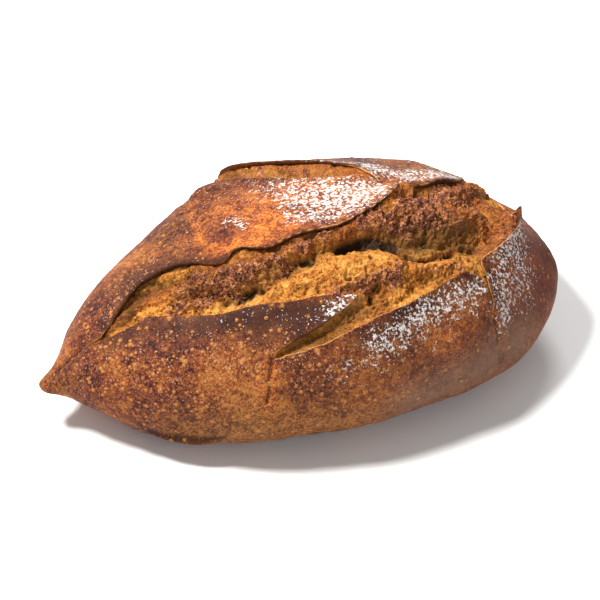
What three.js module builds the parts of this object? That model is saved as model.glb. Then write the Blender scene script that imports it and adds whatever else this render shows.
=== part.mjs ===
// A torpedo-shaped sourdough loaf: one solid, with its crust burst open along the slashes.
// Millimetres, +Z up. X runs along the loaf from the pointed end to the blunt end, -Y is the front,
// and the origin is under the middle of the flat base.
//
// The skin is a closed surface round the long axis. Each place on it has two numbers: its distance
// along X, and its angle round the loaf, 0 at the crown, positive towards the front, 180 at the base.
// Two openings are drawn on the skin. Outside them is crust, which curls up towards the torn edge.
// Inside them is the torn crumb, with its crests and valleys. A rim and an overhung wall join the two.
import * as THREE from "three";

// Driving dimensions
const LENGTH = 300;
const HALF_LENGTH = LENGTH / 2;
const CAP = 0.04; // share of the half length that rounds off each end
const WAIST = 0.39; // height of the widest line, as a share of the loaf's height there
const BASE_SPREAD = 1.13; // over 1 widens the flat base
const RIM = 1.7; // thickness of the crust at a torn edge
const CURL_REACH = 11; // how far from a torn edge the crust starts to curl up
const FLOOR = -9; // depth of the crumb's valleys under the skin
const FOOT_DROP = 1.9; // how far below the torn edge's top the crumb meets the crust
const FOOT_PER_UNDER = 0.5; // more of that where the crumb is cut back
const TIP_DROP = 7; // and how much more at a tip that stands up by TIP_LIFT
const TIP_LIFT = 16;
const FOOT_REACH = 3.5; // how far the crumb's foot reaches into the opening
const REACH_PER_LIFT = 0.5;
const CREST_POWER = 1.3; // over 1 steepens the crests' sides
const UNDERCUT_REACH = 6;
const EDGE_BLEND = 1.6; // over how far the sizes of nearby torn edges blend
const SNAP = 0.8; // a grid corner this close to a torn edge is moved onto it

// Half the width, the height of the crown and the height of the underside, by station along the loaf.
// A station runs from -1 at the pointed end to 1 at the blunt end.
const HALF_WIDTH = [
  [-1, 5.5], [-0.96, 7], [-0.82, 31], [-0.6, 58.5], [-0.3, 80.5],
  [0.05, 91], [0.32, 88], [0.44, 86], [0.58, 79], [0.72, 69], [0.9, 47.5], [1, 25],
];
const CROWN = [
  [-1, 28], [-0.96, 32], [-0.8, 58], [-0.5, 82], [-0.15, 98],
  [0.2, 100.5], [0.55, 89.5], [0.85, 61.5], [1, 46],
];
const UNDERSIDE = [
  [-1, 26], [-0.85, 17], [-0.65, 3], [-0.45, 0],
  [0.5, 0], [0.65, 1], [0.85, 13], [1, 34],
];

// Torn edges, each a smooth line between two corners. A point is its distance along the loaf, its
// angle, how far the crust lifts off the skin there, and how far the crumb is cut back under it.
const BLOOM_EDGES = {
  front: [
    [-128.5, 12.8, 0, 0.3], [-118.5, 18.4, 0, 0.5], [-110, 19.4, 0, 1], [-100.5, 19.2, 0, 1],
    [-93, 17.6, 0.3, 1], [-84.5, 21.6, 0.3, 1], [-73.5, 26.4, 0.3, 1], [-64, 29.2, 0.3, 1.2],
    [-55.5, 31.2, 0.4, 1.2], [-42, 32.4, 1, 1.2], [-30.5, 34.4, 1, 1.2], [-21, 35.2, 1, 1.2],
    [-11, 35.6, 1.5, 1.2], [-1.5, 36.8, 2, 0.8], [10, 39.4, 2.5, 0.2],
  ],
  tongue: [
    [10, 39.4, 2.5, 0.2], [-1, 43.2, 2.5, 1.5], [-13, 46.8, 2.5, 3.5], [-23, 49.6, 2.5, 4],
    [-32, 52.4, 2, 3.5], [-38.5, 54.6, 1.5, 2], [-43, 57.6, 0, 0.3],
  ],
  lower: [
    [-43, 57.6, 0, 0.3], [-36.5, 57.6, 0, 0.8], [-28, 56.8, 0.5, 1], [-19, 55.6, 1, 1],
    [-3.5, 52.8, 1, 1], [7, 51.2, 1, 1], [17, 49.6, 1, 1], [32, 48.8, 1.5, 1],
    [45.5, 46.4, 2, 1], [59, 42.8, 2.5, 0.8], [73, 39.6, 3, 0.2],
  ],
  corner: [
    [73, 39.6, 3, 0.2], [81.5, 44.6, 2, 0.6], [83.6, 50, 1.2, 0.5], [83.8, 58, 0.7, 0.4],
    [84.4, 65, 0, 0.2],
  ],
  end: [
    [84.4, 65, 0, 0.2], [85, 58, 0.7, 0.4], [85.7, 50, 1.2, 0.6], [86, 43, 2, 0.8], [86, 36.4, 3, 0.8],
    [94, 32.8, 5, 1], [103.5, 28.4, 7, 1.2], [110, 24, 9, 1], [115, 19, 12, 0.8], [122.5, 7.5, 15.5, 0.2],
  ],
  far: [
    [122.5, 7.5, 15.5, 0.2], [125.5, 3.6, 3, 0.3], [132, -6, -2, 0.6], [136, -19, -1.5, 0.8],
    [133, -33, -1, 1], [126, -40, 1, 1], [118, -35, 2.5, 1], [111, -24.5, 3.5, 1], [104, -15, 3.5, 1.5],
    [96, -9, 4.5, 2.5], [88.5, -5.6, 5.5, 3], [72.5, -1.4, 5, 2.5], [62.5, -3.8, 5, 0.4],
  ],
  slab: [
    [62.5, -3.8, 5, 0.4], [53, 1.2, 5, 2], [42, 6, 5, 3], [34, 8, 5, 4], [21.5, 10.2, 5, 4],
    [10, 10.8, 5, 4], [-3.5, 9.8, 4.5, 4], [-11, 10, 4, 4], [-19, 11.2, 4, 4], [-28, 11, 4, 4],
    [-36, 7.8, 5, 4], [-41.5, 7.8, 3, 3], [-46.5, 9.4, 2, 2], [-52, 8, 2, 2], [-60.5, 4, 3, 3.5],
    [-69, 0.6, 4, 4.5], [-77, -0.8, 4, 5], [-85, -1.2, 4, 5], [-91.5, -0.4, 4, 5], [-97, 2.6, 4, 4.5],
    [-103.5, 6.2, 3, 3.5], [-111, 11.4, 2, 1.5], [-118, 14.6, 0.8, 0.5], [-128.5, 12.8, 0, 0.3],
  ],
};
const BACK_EDGES = {
  near: [
    [55, -8.4, 1, 0.3], [45, -12, 2, 1], [37, -12.8, 2, 1], [28, -14.8, 2, 1], [13, -20, 2, 1],
    [2, -26.8, 2, 1], [-5, -32.4, 2, 1], [-17, -45, 1.5, 1], [-30, -55.5, 1, 1], [-44, -64.5, 0.5, 0.8],
    [-60, -72, 0, 0.3],
  ],
  hidden: [
    [-60, -72, 0, 0.3], [-46, -72.5, 0.5, 1.2], [-32, -70.5, 1.5, 2], [-20, -65.5, 4, 2.4],
    [-13.5, -56, 9.5, 0.8],
  ],
  ear: [
    [-13.5, -56, 9.5, 0.8], [-6, -48.5, 8.5, 2], [3, -42, 7, 3], [13.5, -35, 6, 4], [24, -28.5, 6, 4],
    [34, -23, 5, 3], [45, -17, 4, 1.5], [55, -8.4, 1, 0.3],
  ],
};

// Crests of the torn crumb. A point is its distance along the loaf, its angle, its height over the
// skin and its half width.
const CRESTS = [
  [[-118, 17, -2.5, 2], [-105, 16.5, -1.5, 3], [-90, 14.5, -1, 6], [-75, 21, -1, 7], [-43, 28.8, -1, 5],
    [-16, 28.8, 0, 9], [8, 27.5, 1.5, 14], [28, 31, 2, 14], [54, 37, 1.5, 9], [78, 36.5, 0.5, 8]],
  [[-76, 19, 0, 6], [-70.5, 12.5, 1, 7], [-58.5, 10.5, 2, 8], [-45, 15, 3, 9], [-34, 17, 3, 9],
    [-23, 15, 2, 8], [-8, 12.5, 0, 6], [16, 10, -2, 5], [38, 8.4, -1, 6]],
  [[38, 13, 1, 9], [57, 11, 3, 15], [78, 12, 3.5, 20], [100, 10, 1.5, 18], [114, 4, -1, 8]],
  [[48, 25, -4, 5], [70, 29, -3.5, 6], [90, 26, -3, 6]],
  [[88, 1, 2, 8], [99, -5, 4, 10], [108, -12, 5, 10], [116, -21, 4.5, 10], [122, -30, 3, 9]],
  [[112, -1, 1.5, 10], [121, -9, 0.5, 10], [128, -17, -1, 9], [128, -28, -0.5, 8]],
  [[-36, 56, -4, 3], [-10, 51.5, -3, 5], [10, 46.5, -2, 6], [34, 43, -0.5, 9]],
  [[-52, -70, -1, 5], [-34, -65, 1, 7], [-14, -53, 3, 8], [10, -32, 3, 8], [40, -17, 1, 6]],
];

// Creases: lines where the crust is drawn in. A point is its distance along the loaf and its angle;
// each crease has its depth and half width.
const CREASES = [
  { path: [[84, 62], [85.5, 72], [86, 82], [88, 92]], depth: 2.2, width: 3.2 },
  { path: [[-44, 57], [-47, 66], [-48, 76]], depth: 1.4, width: 3 },
  { path: [[-40, -52], [-46.5, -38], [-50.5, -15], [-55, 3]], depth: 1.4, width: 4 },
  { path: [[55, -8.4], [63, -4]], depth: 2, width: 3 },
];

// Swells: places where the crust stands proud. Each has its place, its height and its reach.
const SWELLS = [
  { at: [-31, -47], height: 4.5, reach: 14 },
  { at: [88, -26], height: 2.6, reach: 22 },
];

// The thin skirt of crust that spread on the stone under the front of the pointed end.
const SKIRT = { from: -106, to: -68, angle: 124, spread: 9, out: 1.6 };

// Grid
const ALONG_STEPS = 70;
const END_CROWDING = 0.25; // share of the stations that crowds towards the ends
const ROUND_PARTS = [
  [-180, -60, 16],
  [-60, 90, 32],
  [90, 180, 12],
];

// A smooth curve through [station, value] pairs that never overshoots them.
function smoothTable(pairs) {
  const n = pairs.length;
  const slope = pairs.slice(1).map(([x, y], i) => (y - pairs[i][1]) / (x - pairs[i][0]));
  const tangent = pairs.map((_, i) => {
    if (i === 0) return slope[0];
    if (i === n - 1) return slope[n - 2];
    const a = slope[i - 1];
    const b = slope[i];
    return a * b <= 0 ? 0 : (2 * a * b) / (a + b);
  });
  return (x) => {
    let i = 0;
    while (i < n - 2 && x > pairs[i + 1][0]) i++;
    const span = pairs[i + 1][0] - pairs[i][0];
    const t = THREE.MathUtils.clamp((x - pairs[i][0]) / span, 0, 1);
    const t2 = t * t;
    const t3 = t2 * t;
    return (
      (2 * t3 - 3 * t2 + 1) * pairs[i][1] +
      (t3 - 2 * t2 + t) * span * tangent[i] +
      (3 * t2 - 2 * t3) * pairs[i + 1][1] +
      (t3 - t2) * span * tangent[i + 1]
    );
  };
}

const halfWidth = smoothTable(HALF_WIDTH);
const crown = smoothTable(CROWN);
const underside = smoothTable(UNDERSIDE);

// The skin before the crust bursts, at a distance along the loaf and an angle in degrees.
function skinPoint(along, angle) {
  const station = THREE.MathUtils.clamp(along / HALF_LENGTH, -1, 1);
  const intoCap = Math.max(Math.abs(station) - (1 - CAP), 0) / CAP;
  const closing = Math.sqrt(Math.max(1 - intoCap * intoCap, 0));
  const low = underside(station);
  const high = crown(station);
  const waist = low + WAIST * (high - low);
  const sine = Math.sin(THREE.MathUtils.degToRad(angle));
  const cosine = Math.cos(THREE.MathUtils.degToRad(angle));
  const y = -halfWidth(station) * closing * Math.sign(sine) * Math.abs(sine) ** 0.95;
  const z =
    cosine > 0
      ? waist + (high - waist) * closing * cosine
      : waist - (waist - low) * closing * Math.min(1, BASE_SPREAD * Math.abs(cosine) ** 0.75);
  return new THREE.Vector3(along, y, z);
}

// The skin's outward direction there.
function skinNormal(along, angle) {
  const step = 0.4;
  const inside = THREE.MathUtils.clamp(along, -HALF_LENGTH + 2 * step, HALF_LENGTH - 2 * step);
  const down = skinPoint(inside + step, angle).sub(skinPoint(inside - step, angle));
  const round = skinPoint(inside, angle + 1).sub(skinPoint(inside, angle - 1));
  return down.cross(round).normalize().negate();
}

// A smooth line through points that are lists of numbers, as more such points.
function smoothLine(points, perSpan) {
  const line = [];
  for (let i = 0; i < points.length - 1; i++) {
    const [b, c] = [points[i], points[i + 1]];
    const a = points[Math.max(i - 1, 0)];
    const d = points[Math.min(i + 2, points.length - 1)];
    for (let k = 0; k < perSpan; k++) {
      const t = k / perSpan;
      line.push(
        b.map(
          (_, m) =>
            0.5 *
            (2 * b[m] +
              (c[m] - a[m]) * t +
              (2 * a[m] - 5 * b[m] + 4 * c[m] - d[m]) * t * t +
              (3 * b[m] - a[m] - 3 * c[m] + d[m]) * t * t * t),
        ),
      );
    }
  }
  line.push([...points[points.length - 1]]);
  return line;
}

// An opening: its outline on the skin as a closed ring of samples.
function makeOpening(edges) {
  const ring = Object.values(edges).flatMap((edge) => smoothLine(edge, 4).slice(0, -1));
  const samples = ring.map(([along, angle, lift, under]) => ({
    along,
    angle,
    lift,
    under: Math.max(under, 0.1),
    at: skinPoint(along, angle),
  }));
  const turn = ring.reduce((sum, p, i) => {
    const q = ring[(i + 1) % ring.length];
    return sum + (p[0] * q[1] - q[0] * p[1]);
  }, 0);
  samples.forEach((s, i) => {
    const before = samples[(i - 1 + samples.length) % samples.length].at;
    const after = samples[(i + 1) % samples.length].at;
    const tangent = after.clone().sub(before).normalize();
    s.outward = tangent.cross(skinNormal(s.along, s.angle)).multiplyScalar(-Math.sign(turn)).normalize();
  });
  return { ring, samples };
}

const OPENINGS = [makeOpening(BLOOM_EDGES), makeOpening(BACK_EDGES)];

function isInside(ring, along, angle) {
  let inside = false;
  for (let i = 0, j = ring.length - 1; i < ring.length; j = i++) {
    const [ax, ay] = ring[i];
    const [bx, by] = ring[j];
    if (ay > angle !== by > angle && along < ((bx - ax) * (angle - ay)) / (by - ay) + ax) inside = !inside;
  }
  return inside;
}

// Where a place lies by the torn edges: its distance from the nearest one (below 0 in an opening),
// that edge's place, and the lift, undercut and outward direction of the edges about it.
function byEdges(along, angle) {
  const here = skinPoint(along, angle);
  const blend = { lift: 0, under: 0, outward: new THREE.Vector3(), weight: 0 };
  let best = { distance: Infinity };
  for (const { ring, samples } of OPENINGS) {
    const inside = isInside(ring, along, angle);
    samples.forEach((a, i) => {
      const b = samples[(i + 1) % samples.length];
      const span = b.at.clone().sub(a.at);
      const reached = here.clone().sub(a.at).dot(span) / Math.max(span.lengthSq(), 1e-9);
      const t = THREE.MathUtils.clamp(reached, 0, 1);
      const distance = a.at.clone().addScaledVector(span, t).distanceTo(here);
      if (distance < best.distance) {
        best = {
          distance,
          inside,
          along: a.along + t * (b.along - a.along),
          angle: a.angle + t * (b.angle - a.angle),
        };
      }
      const weight = Math.exp(-distance / EDGE_BLEND);
      blend.lift += weight * a.lift;
      blend.under += weight * a.under;
      blend.outward.addScaledVector(a.outward, weight);
      blend.weight += weight;
    });
  }
  const weight = Math.max(blend.weight, 1e-12);
  return {
    distance: best.inside ? -best.distance : best.distance,
    nearAlong: best.along,
    nearAngle: best.angle,
    lift: blend.lift / weight,
    under: blend.under / weight,
    outward: blend.outward.normalize(),
  };
}

const crestLines = CRESTS.map((crest) =>
  smoothLine(crest, 6).map(([along, angle, height, width]) => {
    const at = skinPoint(along, angle);
    return { at, height, width };
  }),
);
const swellPlaces = SWELLS.map(({ at, height, reach }) => ({ at: skinPoint(...at), height, reach }));
const creaseLines = CREASES.map(({ path, depth, width }) => ({
  depth,
  width,
  line: smoothLine(path, 6).map(([along, angle]) => skinPoint(along, angle)),
}));

// Height of the torn crumb over the skin, at a place and with the torn edges about it.
function crumbHeight(along, angle, edge) {
  const here = skinPoint(along, angle);
  const sum = crestLines.reduce((total, line) => {
    const rise = Math.max(
      ...line.map(({ at, height, width }) => {
        const gap = at.distanceToSquared(here) / (width * width);
        return (height - FLOOR) * Math.exp(-(gap ** CREST_POWER));
      }),
    );
    return total + rise ** 4;
  }, 0);
  const open = FLOOR + sum ** 0.25;
  const drop = FOOT_DROP + FOOT_PER_UNDER * edge.under + TIP_DROP * (edge.lift / TIP_LIFT) ** 4;
  const reach = FOOT_REACH + REACH_PER_LIFT * Math.max(edge.lift, 0);
  const nearEdge = Math.exp(-((edge.distance / reach) ** 2));
  return open + (edge.lift - drop - open) * nearEdge;
}

// Height of the crust over the skin: the curl at the torn edges, the creases, the swells and the skirt.
function crustHeight(along, angle, edge) {
  const here = skinPoint(along, angle);
  const curl = edge.lift * Math.exp(-Math.max(edge.distance, 0) / CURL_REACH);
  const crease = creaseLines.reduce((deepest, { line, depth, width }) => {
    const nearest = Math.min(...line.map((at) => at.distanceToSquared(here)));
    return Math.max(deepest, depth * Math.exp(-nearest / (width * width)));
  }, 0);
  const alongSkirt = (along - SKIRT.from) / (SKIRT.to - SKIRT.from);
  const onSkirt = alongSkirt > 0 && alongSkirt < 1 ? Math.sin(Math.PI * alongSkirt) : 0;
  const skirt = SKIRT.out * onSkirt * Math.exp(-(((angle - SKIRT.angle) / SKIRT.spread) ** 2));
  const swell = swellPlaces.reduce(
    (sum, { at, height, reach }) => sum + height * Math.exp(-at.distanceToSquared(here) / (reach * reach)),
    0,
  );
  return curl - crease + skirt + swell;
}

// The grid over the skin, as corners with their place and the torn edges about them.
function makeGrid() {
  const angles = ROUND_PARTS.flatMap(([from, to, steps]) =>
    Array.from({ length: steps }, (_, k) => from + ((to - from) * k) / steps),
  );
  const corners = [];
  const addCorner = (along, angle, pole = false) => {
    const edge = byEdges(along, angle);
    if (!pole && Math.abs(edge.distance) < SNAP) {
      const snapped = { ...edge, distance: 0 };
      corners.push({ along: edge.nearAlong, angle: edge.nearAngle, edge: snapped });
    } else {
      corners.push({ along, angle, edge });
    }
    return corners.length - 1;
  };
  const rows = [];
  for (let i = 1; i < ALONG_STEPS; i++) {
    const even = (2 * i) / ALONG_STEPS - 1;
    const crowded = -Math.cos((Math.PI * i) / ALONG_STEPS);
    const along = HALF_LENGTH * (even + (crowded - even) * END_CROWDING);
    rows.push(angles.map((angle) => addCorner(along, angle)));
  }
  const poles = [addCorner(-HALF_LENGTH, 0, true), addCorner(HALF_LENGTH, 0, true)];
  const triangles = [];
  const n = angles.length;
  for (let j = 0; j < n; j++) {
    const k = (j + 1) % n;
    triangles.push([poles[0], rows[0][k], rows[0][j]]);
    triangles.push([poles[1], rows[rows.length - 1][j], rows[rows.length - 1][k]]);
    for (let i = 0; i < rows.length - 1; i++) {
      const [a, b, c, d] = [rows[i][j], rows[i + 1][j], rows[i + 1][k], rows[i][k]];
      if ((i + j) % 2) triangles.push([a, c, b], [a, d, c]);
      else triangles.push([a, d, b], [b, d, c]);
    }
  }
  return { corners, triangles };
}

// Cuts the grid along the torn edges into the crust's triangles and the crumb's.
function cutAlongEdges({ corners, triangles }) {
  const cuts = new Map();
  const side = (i) => Math.sign(corners[i].edge.distance);
  const cutBetween = (i, j) => {
    const key = i < j ? `${i} ${j}` : `${j} ${i}`;
    if (!cuts.has(key)) {
      const [a, b] = [corners[i], corners[j]];
      const t = a.edge.distance / (a.edge.distance - b.edge.distance);
      const along = a.along + t * (b.along - a.along);
      const angle = a.angle + t * (b.angle - a.angle);
      corners.push({ along, angle, edge: { ...byEdges(along, angle), distance: 0 } });
      cuts.set(key, corners.length - 1);
    }
    return cuts.get(key);
  };
  const crust = [];
  const crumb = [];
  const put = (triangle, where) => (where > 0 ? crust : crumb).push(triangle);
  for (const triangle of triangles) {
    const sides = triangle.map(side);
    if (!sides.includes(1) || !sides.includes(-1)) {
      const sum = sides.reduce((a, b) => a + b, 0);
      const along = triangle.reduce((total, i) => total + corners[i].along / 3, 0);
      const angle = triangle.reduce((total, i) => total + corners[i].angle / 3, 0);
      put(triangle, sum || Math.sign(byEdges(along, angle).distance));
      continue;
    }
    const zero = sides.indexOf(0);
    if (zero >= 0) {
      const [a, b, c] = [0, 1, 2].map((k) => triangle[(zero + k) % 3]);
      const cut = cutBetween(b, c);
      put([a, b, cut], side(b));
      put([a, cut, c], side(c));
      continue;
    }
    const lone = sides.findIndex((s) => sides.filter((other) => other === s).length === 1);
    const [a, b, c] = [0, 1, 2].map((k) => triangle[(lone + k) % 3]);
    const [ab, ac] = [cutBetween(a, b), cutBetween(a, c)];
    put([a, ab, ac], side(a));
    put([ab, b, c], side(b));
    put([ab, c, ac], side(b));
  }
  return { corners, crust, crumb };
}

// The edges that only one triangle of a sheet uses, in that triangle's direction.
function openEdges(sheet) {
  const found = new Map();
  for (const t of sheet) {
    for (let k = 0; k < 3; k++) {
      const [a, b] = [t[k], t[(k + 1) % 3]];
      const back = `${b} ${a}`;
      if (found.has(back)) found.delete(back);
      else found.set(`${a} ${b}`, [a, b]);
    }
  }
  return [...found.values()];
}

// Gives to the crust each scrap of crumb that touches the rest at a corner only, or stands alone.
function dropScraps(crust, crumb) {
  let sheet = crumb;
  let moved = true;
  while (moved) {
    const uses = new Map();
    for (const [a] of openEdges(sheet)) uses.set(a, (uses.get(a) || 0) + 1);
    const pinched = new Set([...uses].filter(([, count]) => count > 1).map(([corner]) => corner));
    const kept = sheet.filter((t) => !t.some((i) => pinched.has(i)));
    moved = kept.length < sheet.length;
    crust.push(...sheet.filter((t) => t.some((i) => pinched.has(i))));
    sheet = kept;
  }
  return { crust, crumb: sheet };
}

function buildLoaf() {
  const { corners, crust: rawCrust, crumb: rawCrumb } = cutAlongEdges(makeGrid());
  const { crust, crumb } = dropScraps(rawCrust, rawCrumb);
  const positions = [];
  const index = [];
  const add = (point) => positions.push(point.x, point.y, point.z) / 3 - 1;
  const keep = (make) => {
    const made = new Map();
    return (i) => made.get(i) ?? made.set(i, add(make(corners[i]))).get(i);
  };
  const onSkin = ({ along, angle }, height) =>
    skinPoint(along, angle).addScaledVector(skinNormal(along, angle), height);
  const isBase = ({ along, angle }) => skinPoint(along, angle).z < 1e-6;
  const crustCorner = keep((c) =>
    isBase(c) ? skinPoint(c.along, c.angle) : onSkin(c, crustHeight(c.along, c.angle, c.edge)),
  );
  const rimCorner = keep((c) => onSkin(c, crustHeight(c.along, c.angle, c.edge) - RIM));
  const crumbCorner = keep((c) => {
    const pull = c.edge.under * Math.exp(Math.min(c.edge.distance, 0) / UNDERCUT_REACH);
    return onSkin(c, crumbHeight(c.along, c.angle, c.edge)).addScaledVector(c.edge.outward, pull);
  });
  for (const t of crust) index.push(...t.map(crustCorner));
  for (const t of crumb) index.push(...t.map(crumbCorner));
  for (const [a, b] of openEdges(crumb)) {
    const [footA, footB, rimA, rimB, topA, topB] = [
      crumbCorner(a), crumbCorner(b), rimCorner(a), rimCorner(b), crustCorner(a), crustCorner(b),
    ];
    index.push(footB, footA, rimA, footB, rimA, rimB);
    index.push(rimB, rimA, topA, rimB, topA, topB);
  }
  const geometry = new THREE.BufferGeometry();
  geometry.setAttribute("position", new THREE.Float32BufferAttribute(positions, 3));
  geometry.setIndex(index);
  geometry.computeBoundingBox();
  const { min, max } = geometry.boundingBox;
  geometry.translate(-(min.x + max.x) / 2, -(min.y + max.y) / 2, -min.z);
  geometry.computeVertexNormals();
  return geometry;
}

const bakedCrust = new THREE.MeshStandardMaterial({ color: 0x9a5a30, roughness: 0.62, metalness: 0 });
const loaf = new THREE.Mesh(buildLoaf(), bakedCrust);
loaf.name = "loaf";

const group = new THREE.Group();
group.add(loaf);

export default group;
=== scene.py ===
"""Dresses a sourdough loaf: blistered crust, torn crumb, flour and a plain studio."""
from __future__ import annotations

import logging
import math
from dataclasses import dataclass
from enum import Enum
from typing import Callable, Iterable, Sequence

import bpy
import numpy as np
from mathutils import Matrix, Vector

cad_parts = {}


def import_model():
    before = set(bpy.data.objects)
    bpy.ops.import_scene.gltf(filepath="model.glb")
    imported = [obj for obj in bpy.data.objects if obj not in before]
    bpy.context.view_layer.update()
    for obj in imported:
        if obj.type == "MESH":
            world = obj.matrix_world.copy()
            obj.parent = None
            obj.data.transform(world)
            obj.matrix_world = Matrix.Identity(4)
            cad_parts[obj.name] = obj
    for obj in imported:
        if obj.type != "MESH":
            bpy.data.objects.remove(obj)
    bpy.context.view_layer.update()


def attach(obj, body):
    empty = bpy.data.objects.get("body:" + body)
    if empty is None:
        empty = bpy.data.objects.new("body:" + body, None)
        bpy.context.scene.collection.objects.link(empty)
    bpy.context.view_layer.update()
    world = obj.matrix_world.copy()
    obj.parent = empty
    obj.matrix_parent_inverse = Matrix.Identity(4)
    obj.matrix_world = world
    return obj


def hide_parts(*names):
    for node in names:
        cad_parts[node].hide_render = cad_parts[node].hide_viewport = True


LOG = logging.getLogger("loaf")
MM = 0.001
TINY = 1e-9

Numbers = tuple[float, ...]
Colour = tuple[float, float, float]


# Curves and random grain


@dataclass(frozen=True)
class SmoothTable:
    """A smooth curve through stations that never overshoots them."""

    pairs: tuple[Numbers, ...]

    def __call__(self, x: np.ndarray) -> np.ndarray:
        """Reads the curve.

        Args:
            x: The stations to read it at.

        Returns:
            The curve's value at each of them.
        """
        xs, ys = np.array(self.pairs, float).T
        slope = np.diff(ys) / np.diff(xs)
        tangent = np.concatenate([slope[:1], np.zeros(len(xs) - 2), slope[-1:]])
        before, after = slope[:-1], slope[1:]
        same = before * after > 0
        tangent[1:-1][same] = 2 * before[same] * after[same] / (before + after)[same]
        i = np.clip(np.searchsorted(xs, x) - 1, 0, len(xs) - 2)
        span = (xs[1:] - xs[:-1])[i]
        t = np.clip((x - xs[i]) / span, 0, 1)
        t2, t3 = t * t, t * t * t
        return (
            (2 * t3 - 3 * t2 + 1) * ys[i]
            + (t3 - 2 * t2 + t) * span * tangent[i]
            + (3 * t2 - 2 * t3) * ys[i + 1]
            + (t3 - t2) * span * tangent[i + 1]
        )


def smooth_line(points: Sequence[Numbers], per_span: int) -> np.ndarray:
    """Draws a smooth line through points.

    Args:
        points: The points, each with any number of values.
        per_span: How many samples lie between two points.

    Returns:
        The samples, one row each, with both ends.
    """
    p = np.array(points, float)
    samples = []
    for i in range(len(p) - 1):
        a, b, c, d = p[max(i - 1, 0)], p[i], p[i + 1], p[min(i + 2, len(p) - 1)]
        for t in np.arange(per_span) / per_span:
            cubic = (3 * b - a - 3 * c + d) * t**3
            samples.append(0.5 * (2 * b + (c - a) * t + (2 * a - 5 * b + 4 * c - d) * t**2 + cubic))
    return np.array([*samples, p[-1]])


def smooth_step(low: float, high: float, x: np.ndarray) -> np.ndarray:
    """Rises from 0 at low to 1 at high, or falls where high is the smaller."""
    t = np.clip((x - low) / (high - low), 0, 1)
    return t * t * (3 - 2 * t)


def unit(vectors: np.ndarray) -> np.ndarray:
    """Scales vectors to a length of 1."""
    return vectors / np.maximum(np.linalg.norm(vectors, axis=-1, keepdims=True), TINY)


@dataclass(frozen=True)
class Grain:
    """Random variation in space, the same on every run."""

    seed: int
    table: int = 256
    wave_height: float = 1.6
    cell_spread: float = 0.42

    def _tables(self) -> tuple[np.ndarray, np.ndarray]:
        """Draws the random tables.

        Returns:
            The shuffled indexes and the random directions.
        """
        rng = np.random.default_rng(self.seed)
        directions = unit(rng.normal(size=(self.table, 3)))
        return rng.permutation(self.table), directions

    def _keys(self, order: np.ndarray, cell: np.ndarray) -> np.ndarray:
        """Looks up the random keys of cells.

        Args:
            order: The shuffled indexes.
            cell: The cells, one row each.

        Returns:
            Each cell's key, below the table's length.
        """
        key = order[cell[:, 0] % self.table]
        key = order[(key + cell[:, 1]) % self.table]
        return order[(key + cell[:, 2]) % self.table]

    def waves(self, points: np.ndarray, size: float) -> np.ndarray:
        """Makes smooth random waves.

        Args:
            points: The places, one row each.
            size: The length of one wave, in the places' unit.

        Returns:
            A value from about -1 to 1 at each place.
        """
        order, directions = self._tables()
        q = points / size
        cell = np.floor(q).astype(int)
        f = q - cell
        fade = f * f * f * (f * (f * 6 - 15) + 10)
        total = np.zeros(len(q))
        for corner in np.ndindex(2, 2, 2):
            key = self._keys(order, cell + corner)
            weight = np.prod(np.where(corner, fade, 1 - fade), axis=1)
            total += weight * np.sum(directions[key] * (f - corner), axis=1)
        return total * self.wave_height

    def cells(self, points: np.ndarray, size: float) -> tuple[np.ndarray, np.ndarray]:
        """Scatters one seed in each cell of space and finds the nearest.

        Args:
            points: The places, one row each.
            size: The side of a cell, in the places' unit.

        Returns:
            The distance to the nearest seed in cells, and that seed's random value from 0 to 1.
        """
        order, directions = self._tables()
        q = points / size
        cell = np.floor(q).astype(int)
        best = np.full(len(q), np.inf)
        value = np.zeros(len(q))
        for step in np.ndindex(3, 3, 3):
            at = cell + step - 1
            key = self._keys(order, at)
            seed_place = at + 0.5 + self.cell_spread * directions[key]
            d = np.linalg.norm(q - seed_place, axis=1)
            nearer = d < best
            best[nearer] = d[nearer]
            value[nearer] = key[nearer] / (self.table - 1)
        return best, value


# The loaf's skin and its torn edges, in millimetres


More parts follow.
